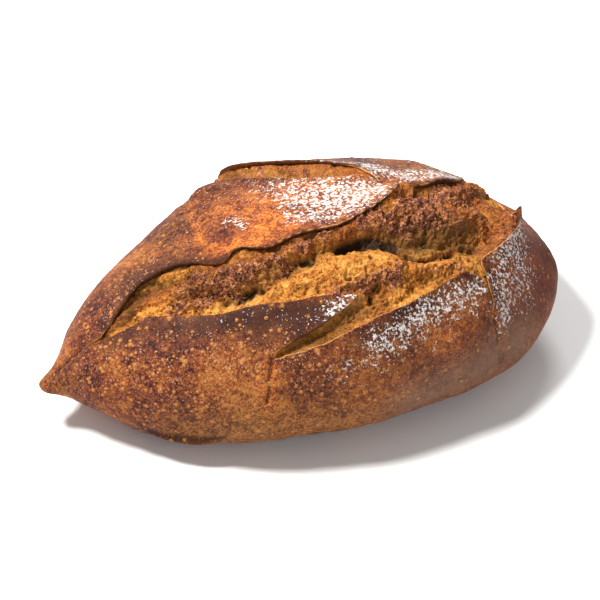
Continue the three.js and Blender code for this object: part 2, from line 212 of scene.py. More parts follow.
@dataclass(frozen=True)
class Skin:
    """The closed skin before the crust bursts.

    A place on it is a distance along the loaf and an angle round it in degrees: 0 at the crown,
    positive towards the front, 180 at the base. Tables run from -1 at the pointed end to 1.
    """

    half_length: float = 150.0
    cap: float = 0.04
    waist: float = 0.39
    base_spread: float = 1.13
    side_power: float = 0.95
    base_power: float = 0.75
    probe: float = 0.4
    half_width: SmoothTable = SmoothTable((
        (-1, 5.5), (-0.96, 7), (-0.82, 31), (-0.6, 58.5), (-0.3, 80.5),
        (0.05, 91), (0.32, 88), (0.44, 86), (0.58, 79), (0.72, 69), (0.9, 47.5), (1, 25),
    ))
    crown: SmoothTable = SmoothTable((
        (-1, 28), (-0.96, 32), (-0.8, 58), (-0.5, 82), (-0.15, 98),
        (0.2, 100.5), (0.55, 89.5), (0.85, 61.5), (1, 46),
    ))
    underside: SmoothTable = SmoothTable((
        (-1, 26), (-0.85, 17), (-0.65, 3), (-0.45, 0),
        (0.5, 0), (0.65, 1), (0.85, 13), (1, 34),
    ))

    def point(self, along: np.ndarray, angle: np.ndarray) -> np.ndarray:
        """Finds places on the skin.

        Args:
            along: Distances along the loaf.
            angle: Angles round it.

        Returns:
            The points, with one more axis than the arguments.
        """
        along, angle = np.broadcast_arrays(np.asarray(along, float), np.asarray(angle, float))
        station = np.clip(along / self.half_length, -1, 1)
        into_cap = np.clip(np.abs(station) - (1 - self.cap), 0, None) / self.cap
        closing = np.sqrt(np.clip(1 - into_cap**2, 0, None))
        low, high = self.underside(station), self.crown(station)
        waist = low + self.waist * (high - low)
        sine, cosine = np.sin(np.radians(angle)), np.cos(np.radians(angle))
        y = -self.half_width(station) * closing * np.sign(sine) * np.abs(sine) ** self.side_power
        upper = waist + (high - waist) * closing * cosine
        flat = np.minimum(1, self.base_spread * np.abs(cosine) ** self.base_power)
        lower = waist - (waist - low) * closing * flat
        return np.stack([along, y, np.where(cosine > 0, upper, lower)], -1)

    def normal(self, along: np.ndarray, angle: np.ndarray) -> np.ndarray:
        """Finds the skin's outward direction at places on it.

        Args:
            along: Distances along the loaf.
            angle: Angles round it.

        Returns:
            The directions, as unit vectors.
        """
        step = self.probe
        inside = np.clip(along, -self.half_length + 2 * step, self.half_length - 2 * step)
        down = self.point(inside + step, angle) - self.point(inside - step, angle)
        turn = self.point(inside, angle + 1) - self.point(inside, angle - 1)
        return unit(np.cross(turn, down))


@dataclass(frozen=True)
class Stroke:
    """A line on the skin with a reach and a strength, for relief and for paint alike."""

    places: tuple[Numbers, ...]
    reach: float
    strength: float
    per_span: int = 5

    def mask(self, skin: Skin, points: np.ndarray) -> np.ndarray:
        """Gives its strength at points, which fades with the distance from its line."""
        return self.strength * self.fade(skin, points)

    def fade(self, skin: Skin, points: np.ndarray) -> np.ndarray:
        """Works out how near to its line points are.

        Args:
            skin: The skin that it lies on.
            points: The points.

        Returns:
            A value at each point, from 1 on the line to nearly 0 at twice its reach.
        """
        line = np.array(self.places)
        if len(line) > 1:
            line = smooth_line(self.places, self.per_span)
        at = skin.point(line[:, 0], line[:, 1])
        nearest = np.full(len(points), np.inf)
        for place in at:
            nearest = np.minimum(nearest, np.sum((points - place) ** 2, axis=1))
        return np.exp(-nearest / self.reach**2)


def strokes(*rows: tuple[float | Numbers, ...]) -> tuple[Stroke, ...]:
    """Lists strokes, each from its reach, its strength and then its places."""
    return tuple(Stroke(tuple(places), reach, strength) for reach, strength, *places in rows)


def paint(skin: Skin, lines: Iterable[Stroke], points: np.ndarray) -> np.ndarray:
    """Lays strokes over each other.

    Args:
        skin: The skin that they lie on.
        lines: The strokes.
        points: The points to paint.

    Returns:
        The cover at each point, from 0 to 1.
    """
    bare = np.ones(len(points))
    for stroke in lines:
        bare *= 1 - np.clip(stroke.mask(skin, points), 0, 1)
    return 1 - bare


@dataclass(frozen=True)
class Opening:
    """An opening that tore in the skin, drawn as edges between corners.

    A point of an edge is its distance along, its angle, how far the crust lifts off the skin
    there, and how far the crumb is cut back under it. Each edge starts where the one before ends,
    and the first where the last ends.
    """

    edges: tuple[tuple[Numbers, ...], ...]
    per_span: int = 4

    def ring(self) -> np.ndarray:
        """Samples the closed outline.

        Returns:
            The samples, one row each.
        """
        corners = [edge[-1] for edge in self.edges]
        lines = [(start, *edge) for start, edge in zip(corners[-1:] + corners, self.edges)]
        return np.concatenate([smooth_line(line, self.per_span)[:-1] for line in lines])

    def holds(self, along: np.ndarray, angle: np.ndarray) -> np.ndarray:
        """Finds the places that lie in the opening.

        Args:
            along: Distances along the loaf.
            angle: Angles round it.

        Returns:
            Whether each place lies in it.
        """
        inside = np.zeros(along.shape, bool)
        ring = self.ring()[:, :2]
        for (ax, ay), (bx, by) in zip(ring, np.roll(ring, 1, 0)):
            if ay != by:
                crosses = (ay > angle) != (by > angle)
                inside ^= crosses & (along < (bx - ax) * (angle - ay) / (by - ay) + ax)
        return inside


BLOOM = Opening((
    (
        (-118.5, 18.4, 0, 0.5), (-110, 19.4, 0, 1), (-100.5, 19.2, 0, 1),
        (-93, 17.6, 0.3, 1), (-84.5, 21.6, 0.3, 1), (-73.5, 26.4, 0.3, 1), (-64, 29.2, 0.3, 1.2),
        (-55.5, 31.2, 0.4, 1.2), (-42, 32.4, 1, 1.2), (-30.5, 34.4, 1, 1.2), (-21, 35.2, 1, 1.2),
        (-11, 35.6, 1.5, 1.2), (-1.5, 36.8, 2, 0.8), (10, 39.4, 2.5, 0.2),
    ),
    (
        (-1, 43.2, 2.5, 1.5), (-13, 46.8, 2.5, 3.5), (-23, 49.6, 2.5, 4),
        (-32, 52.4, 2, 3.5), (-38.5, 54.6, 1.5, 2), (-43, 57.6, 0, 0.3),
    ),
    (
        (-36.5, 57.6, 0, 0.8), (-28, 56.8, 0.5, 1), (-19, 55.6, 1, 1),
        (-3.5, 52.8, 1, 1), (7, 51.2, 1, 1), (17, 49.6, 1, 1), (32, 48.8, 1.5, 1),
        (45.5, 46.4, 2, 1), (59, 42.8, 2.5, 0.8), (73, 39.6, 3, 0.2),
    ),
    (
        (81.5, 44.6, 2, 0.6), (83.6, 50, 1.2, 0.5), (83.8, 58, 0.7, 0.4),
        (84.4, 65, 0, 0.2),
    ),
    (
        (85.0, 58, 0.7, 0.4), (85.7, 50, 1.2, 0.6), (86, 43, 2, 0.8),
        (86, 36.4, 3, 0.8), (94, 32.8, 5, 1), (103.5, 28.4, 7, 1.2), (110, 24, 9, 1),
        (115, 19, 12, 0.8), (122.5, 7.5, 15.5, 0.2),
    ),
    (
        (125.5, 3.6, 3, 0.3), (132, -6, -2, 0.6), (136, -19, -1.5, 0.8),
        (133, -33, -1, 1), (126, -40, 1, 1), (118, -35, 2.5, 1), (111, -24.5, 3.5, 1),
        (104, -15, 3.5, 1.5), (96, -9, 4.5, 2.5), (88.5, -5.6, 5.5, 3), (72.5, -1.4, 5, 2.5),
        (62.5, -3.8, 5, 0.4),
    ),
    (
        (53, 1.2, 5, 2), (42, 6, 5, 3), (34, 8, 5, 4), (21.5, 10.2, 5, 4),
        (10, 10.8, 5, 4), (-3.5, 9.8, 4.5, 4), (-11, 10, 4, 4), (-19, 11.2, 4, 4), (-28, 11, 4, 4),
        (-36, 7.8, 5, 4), (-41.5, 7.8, 3, 3), (-46.5, 9.4, 2, 2), (-52, 8, 2, 2), (-60.5, 4, 3, 3.5),
        (-69, 0.6, 4, 4.5), (-77, -0.8, 4, 5), (-85, -1.2, 4, 5), (-91.5, -0.4, 4, 5),
        (-97, 2.6, 4, 4.5), (-103.5, 6.2, 3, 3.5), (-111, 11.4, 2, 1.5), (-118, 14.6, 0.8, 0.5),
        (-128.5, 12.8, 0, 0.3),
    ),
))

BACK_SLASH = Opening((
    (
        (45, -12, 2, 1), (37, -12.8, 2, 1), (28, -14.8, 2, 1), (13, -20, 2, 1),
        (2, -26.8, 2, 1), (-5, -32.4, 2, 1), (-17, -45, 1.5, 1), (-30, -55.5, 1, 1),
        (-44, -64.5, 0.5, 0.8), (-60, -72, 0, 0.3),
    ),
    (
        (-46, -72.5, 0.5, 1.2), (-32, -70.5, 1.5, 2), (-20, -65.5, 4, 2.4),
        (-13.5, -56, 9.5, 0.8),
    ),
    (
        (-6, -48.5, 8.5, 2), (3, -42, 7, 3), (13.5, -35, 6, 4),
        (24, -28.5, 6, 4), (34, -23, 5, 3), (45, -17, 4, 1.5), (55, -8.4, 1, 0.3),
    ),
))


@dataclass
class EdgeView:
    """How places lie by the torn edges.

    Attributes:
        distance: To the nearest edge, below 0 in an opening.
        lift: How far the crust lifts there.
        under: How far the crumb is cut back there.
        outward: The direction from the opening into the crust.
    """

    distance: np.ndarray
    lift: np.ndarray
    under: np.ndarray
    outward: np.ndarray


@dataclass(frozen=True)
class TornEdges:
    """All the torn edges of the loaf."""

    skin: Skin
    openings: tuple[Opening, ...] = (BLOOM, BACK_SLASH)
    blend: float = 1.6
    far: float = 60.0
    far_under: float = 0.1
    widest_angle: float = 110.0
    batch: int = 4096

    def _samples(self) -> tuple[np.ndarray, np.ndarray, np.ndarray, np.ndarray]:
        """Samples the edges.

        Returns:
            Each sample's place, its span to the next, its lift and undercut, and its outward direction.
        """
        at, spans, sizes, outwards = [], [], [], []
        for opening in self.openings:
            ring = opening.ring()
            here = self.skin.point(ring[:, 0], ring[:, 1])
            following = np.roll(ring, -1, 0)
            turn = np.sum(ring[:, 0] * following[:, 1] - following[:, 0] * ring[:, 1])
            tangent = np.roll(here, -1, 0) - np.roll(here, 1, 0)
            outward = np.cross(tangent, self.skin.normal(ring[:, 0], ring[:, 1])) * -np.sign(turn)
            at.append(here)
            spans.append(np.roll(here, -1, 0) - here)
            sizes.append(ring[:, 2:4])
            outwards.append(unit(outward))
        return tuple(np.concatenate(part) for part in (at, spans, sizes, outwards))

    def view(self, along: np.ndarray, angle: np.ndarray) -> EdgeView:
        """Measures places by the torn edges.

        Args:
            along: Distances along the loaf.
            angle: Angles round it.

        Returns:
            The view from each place.
        """
        n = len(along)
        at, span, sizes, outward = self._samples()
        length = np.maximum(np.sum(span**2, axis=1), TINY)
        under = np.full(n, self.far_under)
        view = EdgeView(np.full(n, self.far), np.zeros(n), under, np.zeros((n, 3)))
        view.outward[:, 2] = 1
        points = self.skin.point(along, angle)
        close = np.flatnonzero(np.abs(angle) < self.widest_angle)
        for start in range(0, len(close), self.batch):
            rows = close[start:start + self.batch]
            gap = points[rows, None, :] - at[None]
            t = np.clip(np.einsum("ijk,jk->ij", gap, span) / length, 0, 1)
            d = np.linalg.norm(gap - t[..., None] * span[None], axis=2)
            best = d.min(axis=1)
            weight = np.exp(-(d - best[:, None]) / self.blend)
            weight /= weight.sum(axis=1, keepdims=True)
            view.distance[rows] = np.minimum(best, self.far)
            view.lift[rows], view.under[rows] = (weight @ sizes).T
            view.outward[rows] = unit(weight @ outward)
        inside = np.zeros(n, bool)
        for opening in self.openings:
            inside |= opening.holds(along, angle)
        view.distance[inside] *= -1
        return view


# Sheets of triangles

# How far a corner's field stays from 0, in millimetres, so that no cut makes a sliver
CUT_MARGIN = 0.1


@dataclass
class Sheet:
    """A grid over the skin, cut along a line where a field over it is 0.

    Attributes:
        along: Each corner's distance along the loaf.
        angle: Each corner's angle round it.
        outer: The triangles where the field is above 0.
        inner: The triangles where it is below 0.
    """

    along: np.ndarray
    angle: np.ndarray
    outer: np.ndarray
    inner: np.ndarray

    @staticmethod
    def cut(along: np.ndarray, angle: np.ndarray, field: np.ndarray, triangles: np.ndarray) -> Sheet:
        """Cuts triangles where the field changes sign.

        Args:
            along: Each corner's distance along the loaf.
            angle: Each corner's angle.
            field: Each corner's value.
            triangles: The triangles, as rows of corner indexes.

        Returns:
            The cut sheet.
        """
        kept_off = np.where(field < 0, -CUT_MARGIN, CUT_MARGIN)
        field = np.where(np.abs(field) < CUT_MARGIN, kept_off, field)
        side = field > 0
        count = side[triangles].sum(axis=1)
        outer, inner = [triangles[count == 3]], [triangles[count == 0]]
        extra: list[tuple[float, float]] = []
        made: dict[tuple[int, int], int] = {}

        def between(i: int, j: int) -> int:
            """Cuts the side between two corners, once.

            Args:
                i: One corner.
                j: The other.

            Returns:
                The corner at the cut.
            """
            key = (min(i, j), max(i, j))
            if key not in made:
                t = field[i] / (field[i] - field[j])
                extra.append(tuple(part[i] + t * (part[j] - part[i]) for part in (along, angle)))
                made[key] = len(along) + len(extra) - 1
            return made[key]

        sliced: dict[bool, list[tuple[int, int, int]]] = {True: [], False: []}
        for triangle in triangles[(count == 1) | (count == 2)]:
            flags = side[triangle]
            lone = int(np.argmax(flags)) if flags.sum() == 1 else int(np.argmin(flags))
            a, b, c = (int(triangle[(lone + k) % 3]) for k in range(3))
            ab, ac = between(a, b), between(a, c)
            sliced[bool(side[a])].append((a, ab, ac))
            sliced[bool(side[b])] += [(ab, b, c), (ab, c, ac)]
        outer.append(np.array(sliced[True], int).reshape(-1, 3))
        inner.append(np.array(sliced[False], int).reshape(-1, 3))
        more = np.array(extra, float).reshape(-1, 2)
        return Sheet(
            np.concatenate([along, more[:, 0]]),
            np.concatenate([angle, more[:, 1]]),
            np.concatenate(outer),
            np.concatenate(inner),
        )


def open_edges(triangles: np.ndarray) -> np.ndarray:
    """Finds the sides that only one triangle uses.

    Args:
        triangles: The triangles, as rows of corner indexes.

    Returns:
        The sides, as rows of two corners in their triangle's direction.
    """
    sides = np.concatenate([triangles[:, [0, 1]], triangles[:, [1, 2]], triangles[:, [2, 0]]])
    top = int(sides.max()) + 1
    forward = sides[:, 0] * top + sides[:, 1]
    backward = sides[:, 1] * top + sides[:, 0]
    return sides[~np.isin(forward, backward)]


def without_pinches(triangles: np.ndarray) -> tuple[np.ndarray, np.ndarray]:
    """Drops triangles until no corner joins two parts of a sheet's outline.

    Args:
        triangles: The sheet's triangles.

    Returns:
        The triangles kept, and those dropped.
    """
    dropped = [np.zeros((0, 3), int)]
    while True:
        starts, uses = np.unique(open_edges(triangles)[:, 0], return_counts=True)
        pinched = np.isin(triangles, starts[uses > 1]).any(axis=1)
        if not pinched.any():
            return triangles, np.concatenate(dropped)
        dropped.append(triangles[pinched])
        triangles = triangles[~pinched]


def grid_triangles(rows: int, columns: int, closed: bool) -> np.ndarray:
    """Splits a grid into triangles that face along the skin's outward direction.

    Args:
        rows: The number of rows, one for each station along.
        columns: The number of columns, one for each angle.
        closed: Whether the last column joins the first.

    Returns:
        The triangles, as rows of corner indexes.
    """
    index = np.arange(rows * columns).reshape(rows, columns)
    right = np.roll(index, -1, axis=1)
    a, b, c, d = index[:-1], index[1:], right[1:], right[:-1]
    if not closed:
        a, b, c, d = (part[:, :-1] for part in (a, b, c, d))
    flip = (np.add.outer(np.arange(a.shape[0]), np.arange(a.shape[1])) % 2).astype(bool)
    one = np.stack([np.stack([a, c, b], -1)[flip], np.stack([a, d, c], -1)[flip]]).reshape(-1, 3)
    two = np.stack([np.stack([a, d, b], -1)[~flip], np.stack([b, d, c], -1)[~flip]]).reshape(-1, 3)
    return np.concatenate([one, two])


class Mask(Enum):
    """The painted masks that the finishes read from a mesh."""

    FLOUR = "flour"
    CHAR = "char"
    AMBER = "amber"
    TAN = "tan"
    GREY = "grey"
    BLISTER = "blister"
    RIM = "rim"
    SPECK = "speck"
    BURN = "burn"
    # Painted shade: darkens the crumb in its deep places, along its hollows and crevices, on shaded slopes
    # and in pits.
    HOLLOW_SHADE = "hollow"
    TIP = "tip"
    # Red brown crumb, which is partly also painted shade where the crumb lies in shadow under lips and
    # crests.
    RUST_AND_SHADE = "rust"
    CALM = "calm"
    DOME = "dome"


@dataclass
class Body:
    """A mesh in the making, in millimetres, with its painted masks."""

    points: np.ndarray
    triangles: np.ndarray
    masks: dict[Mask, np.ndarray]

    def to_object(self, name: str, material: bpy.types.Material) -> bpy.types.Object:
        """Makes the Blender object.

        Args:
            name: The piece's name.
            material: Its finish.

        Returns:
            The object, linked to the scene.
        """
        used = np.unique(self.triangles)
        renumber = np.full(len(self.points), -1)
        renumber[used] = np.arange(len(used))
        triangles = renumber[self.triangles]
        mesh = bpy.data.meshes.new(name)
        mesh.vertices.add(len(used))
        mesh.vertices.foreach_set("co", (self.points[used] * MM).astype(np.float32).ravel())
        mesh.loops.add(triangles.size)
        mesh.loops.foreach_set("vertex_index", triangles.astype(np.int32).ravel())
        mesh.polygons.add(len(triangles))
        mesh.polygons.foreach_set("loop_start", np.arange(0, triangles.size, 3, dtype=np.int32))
        mesh.polygons.foreach_set("use_smooth", np.ones(len(triangles), bool))
        mesh.update(calc_edges=True)
        for mask, values in self.masks.items():
            layer = mesh.attributes.new(mask.value, "FLOAT", "POINT")
            layer.data.foreach_set("value", np.clip(values[used], 0, 1).astype(np.float32))
        mesh.materials.append(material)
        piece = bpy.data.objects.new(name, mesh)
        bpy.context.scene.collection.objects.link(piece)
        return piece


# The crust

# Places along the crack that runs down from the notch in the front flap
CRACK = ((-42.5, 57), (-43.5, 61), (-46, 67), (-46.5, 71), (-48.5, 78))


@dataclass(frozen=True)
class Frill:
    """A small fold of crust that stands out low on the loaf's side.

    Attributes:
        start: Its first end, along the loaf.
        end: Its other end.
        angle: Its angle round the loaf.
        spread: How many degrees it fades over.
        out: How far it stands out.
    """

    start: float
    end: float
    angle: float
    spread: float
    out: float

    def height(self, along: np.ndarray, angle: np.ndarray) -> np.ndarray:
        """Works out how far it stands out at places on the skin.

        Args:
            along: Distances along the loaf.
            angle: Angles round it.

        Returns:
            The heights.
        """
        part = np.clip((along - self.start) / (self.end - self.start), 0, 1)
        fade = np.exp(-(((angle - self.angle) / self.spread) ** 2))
        return self.out * np.sin(math.pi * part) * fade


@dataclass(frozen=True)
class Crust:
    """The baked crust: blistered, curled up at the torn edges, with the hollow that the crumb fills.

    Folds with a strength below 0 are creases, and the others are swells.
    """

    skin: Skin
    edges: TornEdges
    along_steps: int = 300
    end_crowding: float = 0.3
    round_parts: tuple[tuple[float, float, int], ...] = (
        (-180, -85, 30), (-85, -50, 30), (-50, 125, 215), (125, 180, 20),
    )
    curl_reach: float = 11.0
    thin_rim: float = 1.0
    rim_per_under: float = 0.45
    bulge_depth: float = 0.5
    bulge_out: float = 0.22
    beneath_share: float = 0.9
    pull_reach: float = 5.0
    recess: float = -12.0
    resting_below: float = 1e-6
    edge_wander: float = 0.55
    wander_reach: float = 12.0
    wanders: tuple[tuple[int, float, float], ...] = ((3, 7.0, 1.0), (4, 2.6, 0.6))
    dents: tuple[tuple[float, float], ...] = ((34.0, 0.9), (13.0, 0.45), (5.0, 0.16), (2.2, 0.07))
    blister_size: float = 4.0
    blister_height: float = 0.6
    blister_radius: tuple[float, float] = (0.20, 0.17)
    blister_share: tuple[float, float] = (0.08, 0.9)
    blister_count: float = 0.62
    blister_roundness: float = 0.6
    rear_under: tuple[float, float] = (1.6, 3.2)
    rear_lift: tuple[float, float] = (3.5, 9.0)
    rear_lift_share: float = 0.8
    wall_rim: float = 0.6
    wall_char: float = 0.15
    wall_char_per_rear: float = 0.5
    folds: tuple[Stroke, ...] = strokes(
        (2.4, -2.2, (84, 62), (85.5, 72), (86, 82), (88, 92)),
        (1.4, -1.7, *CRACK),
        (1.4, -1.2, (-140, 11), (-134, 12), (-128, 12.8)),
        (4.0, -1.4, (-40, -52), (-46.5, -38), (-50.5, -15), (-55, 3)),
        (3.0, -2.0, (55, -8.4), (63, -4)),
        (14.0, 4.5, (-31, -47)),
        (22.0, 2.6, (88, -26)),
    )
    frill: Frill = Frill(start=-106.0, end=-66.0, angle=107.0, spread=2.4, out=3.4)
    flour: tuple[Stroke, ...] = strokes(
        (13, 1.0, (18, -9), (32, -5), (48, -3)),
        (12, 1.0, (4, -7), (22, -2), (38, 0)),
        (12, 0.5, (-6, -24), (16, -22), (34, -16)),
        (9, 0.8, (-4, 1), (10, 4), (26, 6)),
        (10, 0.5, (0, -14), (12, -16)),
        (9, 0.3, (-18, -17), (-4, -21)),
        (6, 0.85, (-34, -8), (-30, -3)),
        (9, 0.95, (54, -16), (76, -13), (102, -16)),
        (4, 1.0, (66, -7), (80, -8), (98, -13)),
        (7, 0.8, (22, -33), (40, -24), (60, -22)),
        (10, 0.45, (30, -44), (60, -34), (96, -28)),
        (9, 0.85, (116, 18), (106, 28), (97, 38), (94, 50), (93, 60)),
        (12, 0.55, (112, 34), (106, 48)),
        (7, 0.6, (93, 60), (89, 72)),
        (9, 0.8, (78, 46), (58, 50), (43, 52), (28, 57), (14, 60)),
        (12, 0.5, (74, 54), (44, 60), (16, 67), (-6, 68)),
        (7, 0.95, (6, 40), (-8, 42)),
        (16, 0.45, (120, 30), (112, 60)),
    )
    char: tuple[Stroke, ...] = strokes(
        (1.5, 0.95, (62, -3.8), (34, 8), (-3.5, 9.8), (-28, 11), (-41, 8)),
        (1.0, 1.0, *CRACK),
        (1.1, 0.9, (-140, 11), (-134, 12), (-127, 13)),
        (4, 0.35, (-126, 14.5), (-118, 20), (-104, 21)),
        (1.1, 0.75, (84.4, 64), (85.5, 72), (86, 80)),
        (2.2, 0.6, (86, 56), (87, 46), (87, 37)),
        (1.8, 0.85, (-104, 103), (-92, 105.5), (-80, 104.5), (-70, 102)),
        (7, 0.6, (-112, 24), (-96, 24), (-80, 30)),
        (14, 0.28, (-30, 67), (0, 70), (30, 74)),
        (3.2, 0.85, (-46, 9), (-52, 8), (-69, 0.6), (-85, -1.2), (-97, 2.6), (-111, 11.4)),
        (9, 0.45, (-56, 2), (-74, -6), (-96, -4)),
        (2.4, 0.9, (-13.5, -56), (3, -42), (24, -28.5), (45, -17)),
        (2.4, 0.95, (106, -11.6), (88, -5.6), (66, -2)),
        (4, 0.7, (122, 7), (116, 16)),
        (9, 0.75, (-70, 32), (-40, 38), (-10, 41)),
        (10, 0.5, (-44, 45), (-20, 46)),
        (9, 0.62, (76, 43), (50, 49), (30, 53), (6, 56)),
        (10, 0.3, (-36, -46), (-26, -40)),
        (12, 0.2, (-40, -30), (-20, -36), (0, -28)),
    )
    amber: tuple[Stroke, ...] = strokes(
        (11, 0.9, (-22, 0), (-10, 2)),
        (6, 0.85, (-46, 2), (-34, 7), (-24, 8)),
        (2.8, 0.8, (-44, -38), (-50, -16), (-52, 2)),
        (13, 0.6, (-10, -11), (14, -12)),
        (10, 0.35, (-36, -20), (-28, -12)),
        (4.5, 0.85, (-43, 60), (-47, 72), (-49, 82)),
        (8, 0.4, (-46, 84), (-34, 92)),
        (4, 0.5, (86, 66), (87, 84)),
        (13, 0.42, (0, 76), (24, 82), (50, 72)),
    )
    tan: tuple[Stroke, ...] = strokes(
        (16, 0.75, (-86, 100), (-50, 104), (-10, 104)),
        (14, 0.4, (-60, 84), (-20, 90), (10, 98)),
        (20, 0.35, (-90, -20), (-60, -30)),
        (9, 0.35, (-146, 44), (-136, 48)),
    )
    grey: tuple[Stroke, ...] = strokes(
        (18, 0.85, (30, 96), (56, 92), (80, 90), (100, 84)),
        (13, 0.5, (50, -22), (80, -18), (104, -20)),
    )
    calm: tuple[Stroke, ...] = strokes(
        (24, 0.95, (108, 70), (126, 50), (134, 24)),
        (20, 0.95, (30, 100), (64, 94), (100, 84)),
        (14, 0.5, (-70, 106), (-20, 108)),
        (14, 0.4, (0, 82), (40, 80), (70, 74)),
    )
    blisters: tuple[Stroke, ...] = strokes(
        (24, 1.0, (-112, 40), (-84, 54), (-56, 60)),
        (22, 0.55, (-40, 62), (-6, 70), (10, 74)),
        (20, 0.45, (-90, 90), (-40, 92)),
        (20, 0.45, (-110, -10), (-80, -16)),
    )
    specks: tuple[Stroke, ...] = strokes(
        (11, 1.0, (-64, 36), (-36, 42), (-8, 42)),
        (12, 0.7, (-30, 52), (-20, 60)),
        (16, 0.6, (-90, 42), (-60, 52), (-20, 62), (20, 70)),
        (16, 0.8, (-100, -4), (-70, -10), (-50, -20)),
        (14, 0.9, (-40, -36), (-16, -34), (4, -30)),
        (15, 0.75, (-34, -18), (-6, -8)),
        (20, 0.6, (20, 62), (60, 66)),
        (22, 0.5, (-130, 30), (-100, 60)),
    )

    def _blisters(self, points: np.ndarray) -> tuple[np.ndarray, np.ndarray]:
        """Raises small blisters.

        Args:
            points: Places on the skin.

        Returns:
            Each place's blister height from 0 to 1, and where blisters are common.
        """
        least, more = self.blister_share
        common = least + more * paint(self.skin, self.blisters, points)
        distance, chance = Grain(31).cells(points, self.blister_size)
        smallest, wider = self.blister_radius
        radius = smallest + wider * ((chance * 7.31) % 1)
        dome = np.clip(1 - (distance / radius) ** 2, 0, None) ** self.blister_roundness
        return dome * (chance < common * self.blister_count), common

    def height(self, points: np.ndarray, angle: np.ndarray, view: EdgeView) -> np.ndarray:
        """Works out how far the crust stands over the skin.

        Args:
            points: Places on the skin.
            angle: Their angles.
            view: How they lie by the torn edges.

        Returns:
            The heights.
        """
        total = view.lift * np.exp(-np.clip(view.distance, 0, None) / self.curl_reach)
        for fold in self.folds:
            total += fold.mask(self.skin, points)
        total += self.frill.height(points[:, 0], angle)
        for k, (size, amount) in enumerate(self.dents):
            total += amount * Grain(10 + k).waves(points, size)
        total += self.blister_height * self._blisters(points)[0]
        return total

    def _corners(self) -> tuple[np.ndarray, np.ndarray, np.ndarray]:
        """Lays the grid over the skin.

        Returns:
            Each corner's distance along and angle, and the triangles.
        """
        i = np.arange(1, self.along_steps)
        even = 2 * i / self.along_steps - 1
        crowded = -np.cos(math.pi * i / self.along_steps)
        stations = self.skin.half_length * (even + (crowded - even) * self.end_crowding)
        angles = np.concatenate([
            np.linspace(start, end, steps, endpoint=False) for start, end, steps in self.round_parts
        ])
        along, angle = (part.ravel() for part in np.meshgrid(stations, angles, indexing="ij"))
        triangles = grid_triangles(len(stations), len(angles), closed=True)
        n, first, last = len(angles), len(along), len(along) + 1
        ring = np.arange(n)
        tail = (len(stations) - 1) * n
        near = np.stack([np.full(n, first), np.roll(ring, -1), ring], -1)
        away = np.stack([np.full(n, last), tail + ring, tail + np.roll(ring, -1)], -1)
        ends = self.skin.half_length
        return (
            np.concatenate([along, [-ends, ends]]),
            np.concatenate([angle, [0.0, 0.0]]),
            np.concatenate([triangles, near, away]),
        )

    def _sheet(self) -> Sheet:
        """Cuts the grid along the torn edges, which wander a little.

        Returns:
            The cut sheet.
        """
        along, angle, triangles = self._corners()
        view = self.edges.view(along, angle)
        near = np.abs(view.distance) < self.wander_reach
        points = self.skin.point(along, angle)[near]
        wander = np.zeros(len(along))
        for seed, size, amount in self.wanders:
            wander[near] += amount * Grain(seed).waves(points, size)
        return Sheet.cut(along, angle, view.distance + self.edge_wander * wander, triangles)

    def _rings(self, sheet: Sheet, points: np.ndarray, view: EdgeView) -> list[np.ndarray]:
        """Places the copies of the sheet that the hollow's floor, the torn walls and the top are made of.

        Args:
            sheet: The cut sheet.
            points: Its corners on the skin.
            view: How they lie by the torn edges.

        Returns:
            Each copy's points, from the floor up.
        """
        normal = self.skin.normal(sheet.along, sheet.angle)
        height = self.height(points, sheet.angle, view)
        height[points[:, 2] < self.resting_below] = 0
        rim = self.thin_rim + self.rim_per_under * view.under
        under = view.under[:, None] * view.outward
        top = points + normal * height[:, None]
        top[:, 2] = np.maximum(top[:, 2], 0)
        inward = view.outward * (self.bulge_out * rim)[:, None]
        bulge = points + normal * (height - self.bulge_depth * rim)[:, None] - inward
        lower = points + normal * (height - rim)[:, None]
        cover = np.minimum(view.lift * np.exp(-view.under / self.curl_reach), height) - rim
        beneath = points + self.beneath_share * under + normal * cover[:, None]
        pull = np.exp(np.clip(view.distance, None, 0) / self.pull_reach)[:, None]
        floor = points + under * pull + normal * self.recess
        return [floor, beneath, lower, bulge, top]

    def body(self) -> Body:
        """Builds the crust's closed mesh.

        Returns:
            The mesh with its masks.
        """
        sheet = self._sheet()
        inner, scraps = without_pinches(sheet.inner)
        outer = np.concatenate([sheet.outer, scraps])
        outline = open_edges(inner)
        view = self.edges.view(sheet.along, sheet.angle)
        points = self.skin.point(sheet.along, sheet.angle)
        rings = self._rings(sheet, points, view)
        n, last = len(points), len(rings) - 1
        walls = []
        for k in range(last):
            a, b = outline[:, 0] + k * n, outline[:, 1] + k * n
            c, d = a + n, b + n
            walls += [np.stack([b, a, c], -1), np.stack([b, c, d], -1)]
        triangles = np.concatenate([inner, outer + last * n, *walls])
        return Body(np.concatenate(rings), triangles, self._masks(points, view, outline, len(rings)))

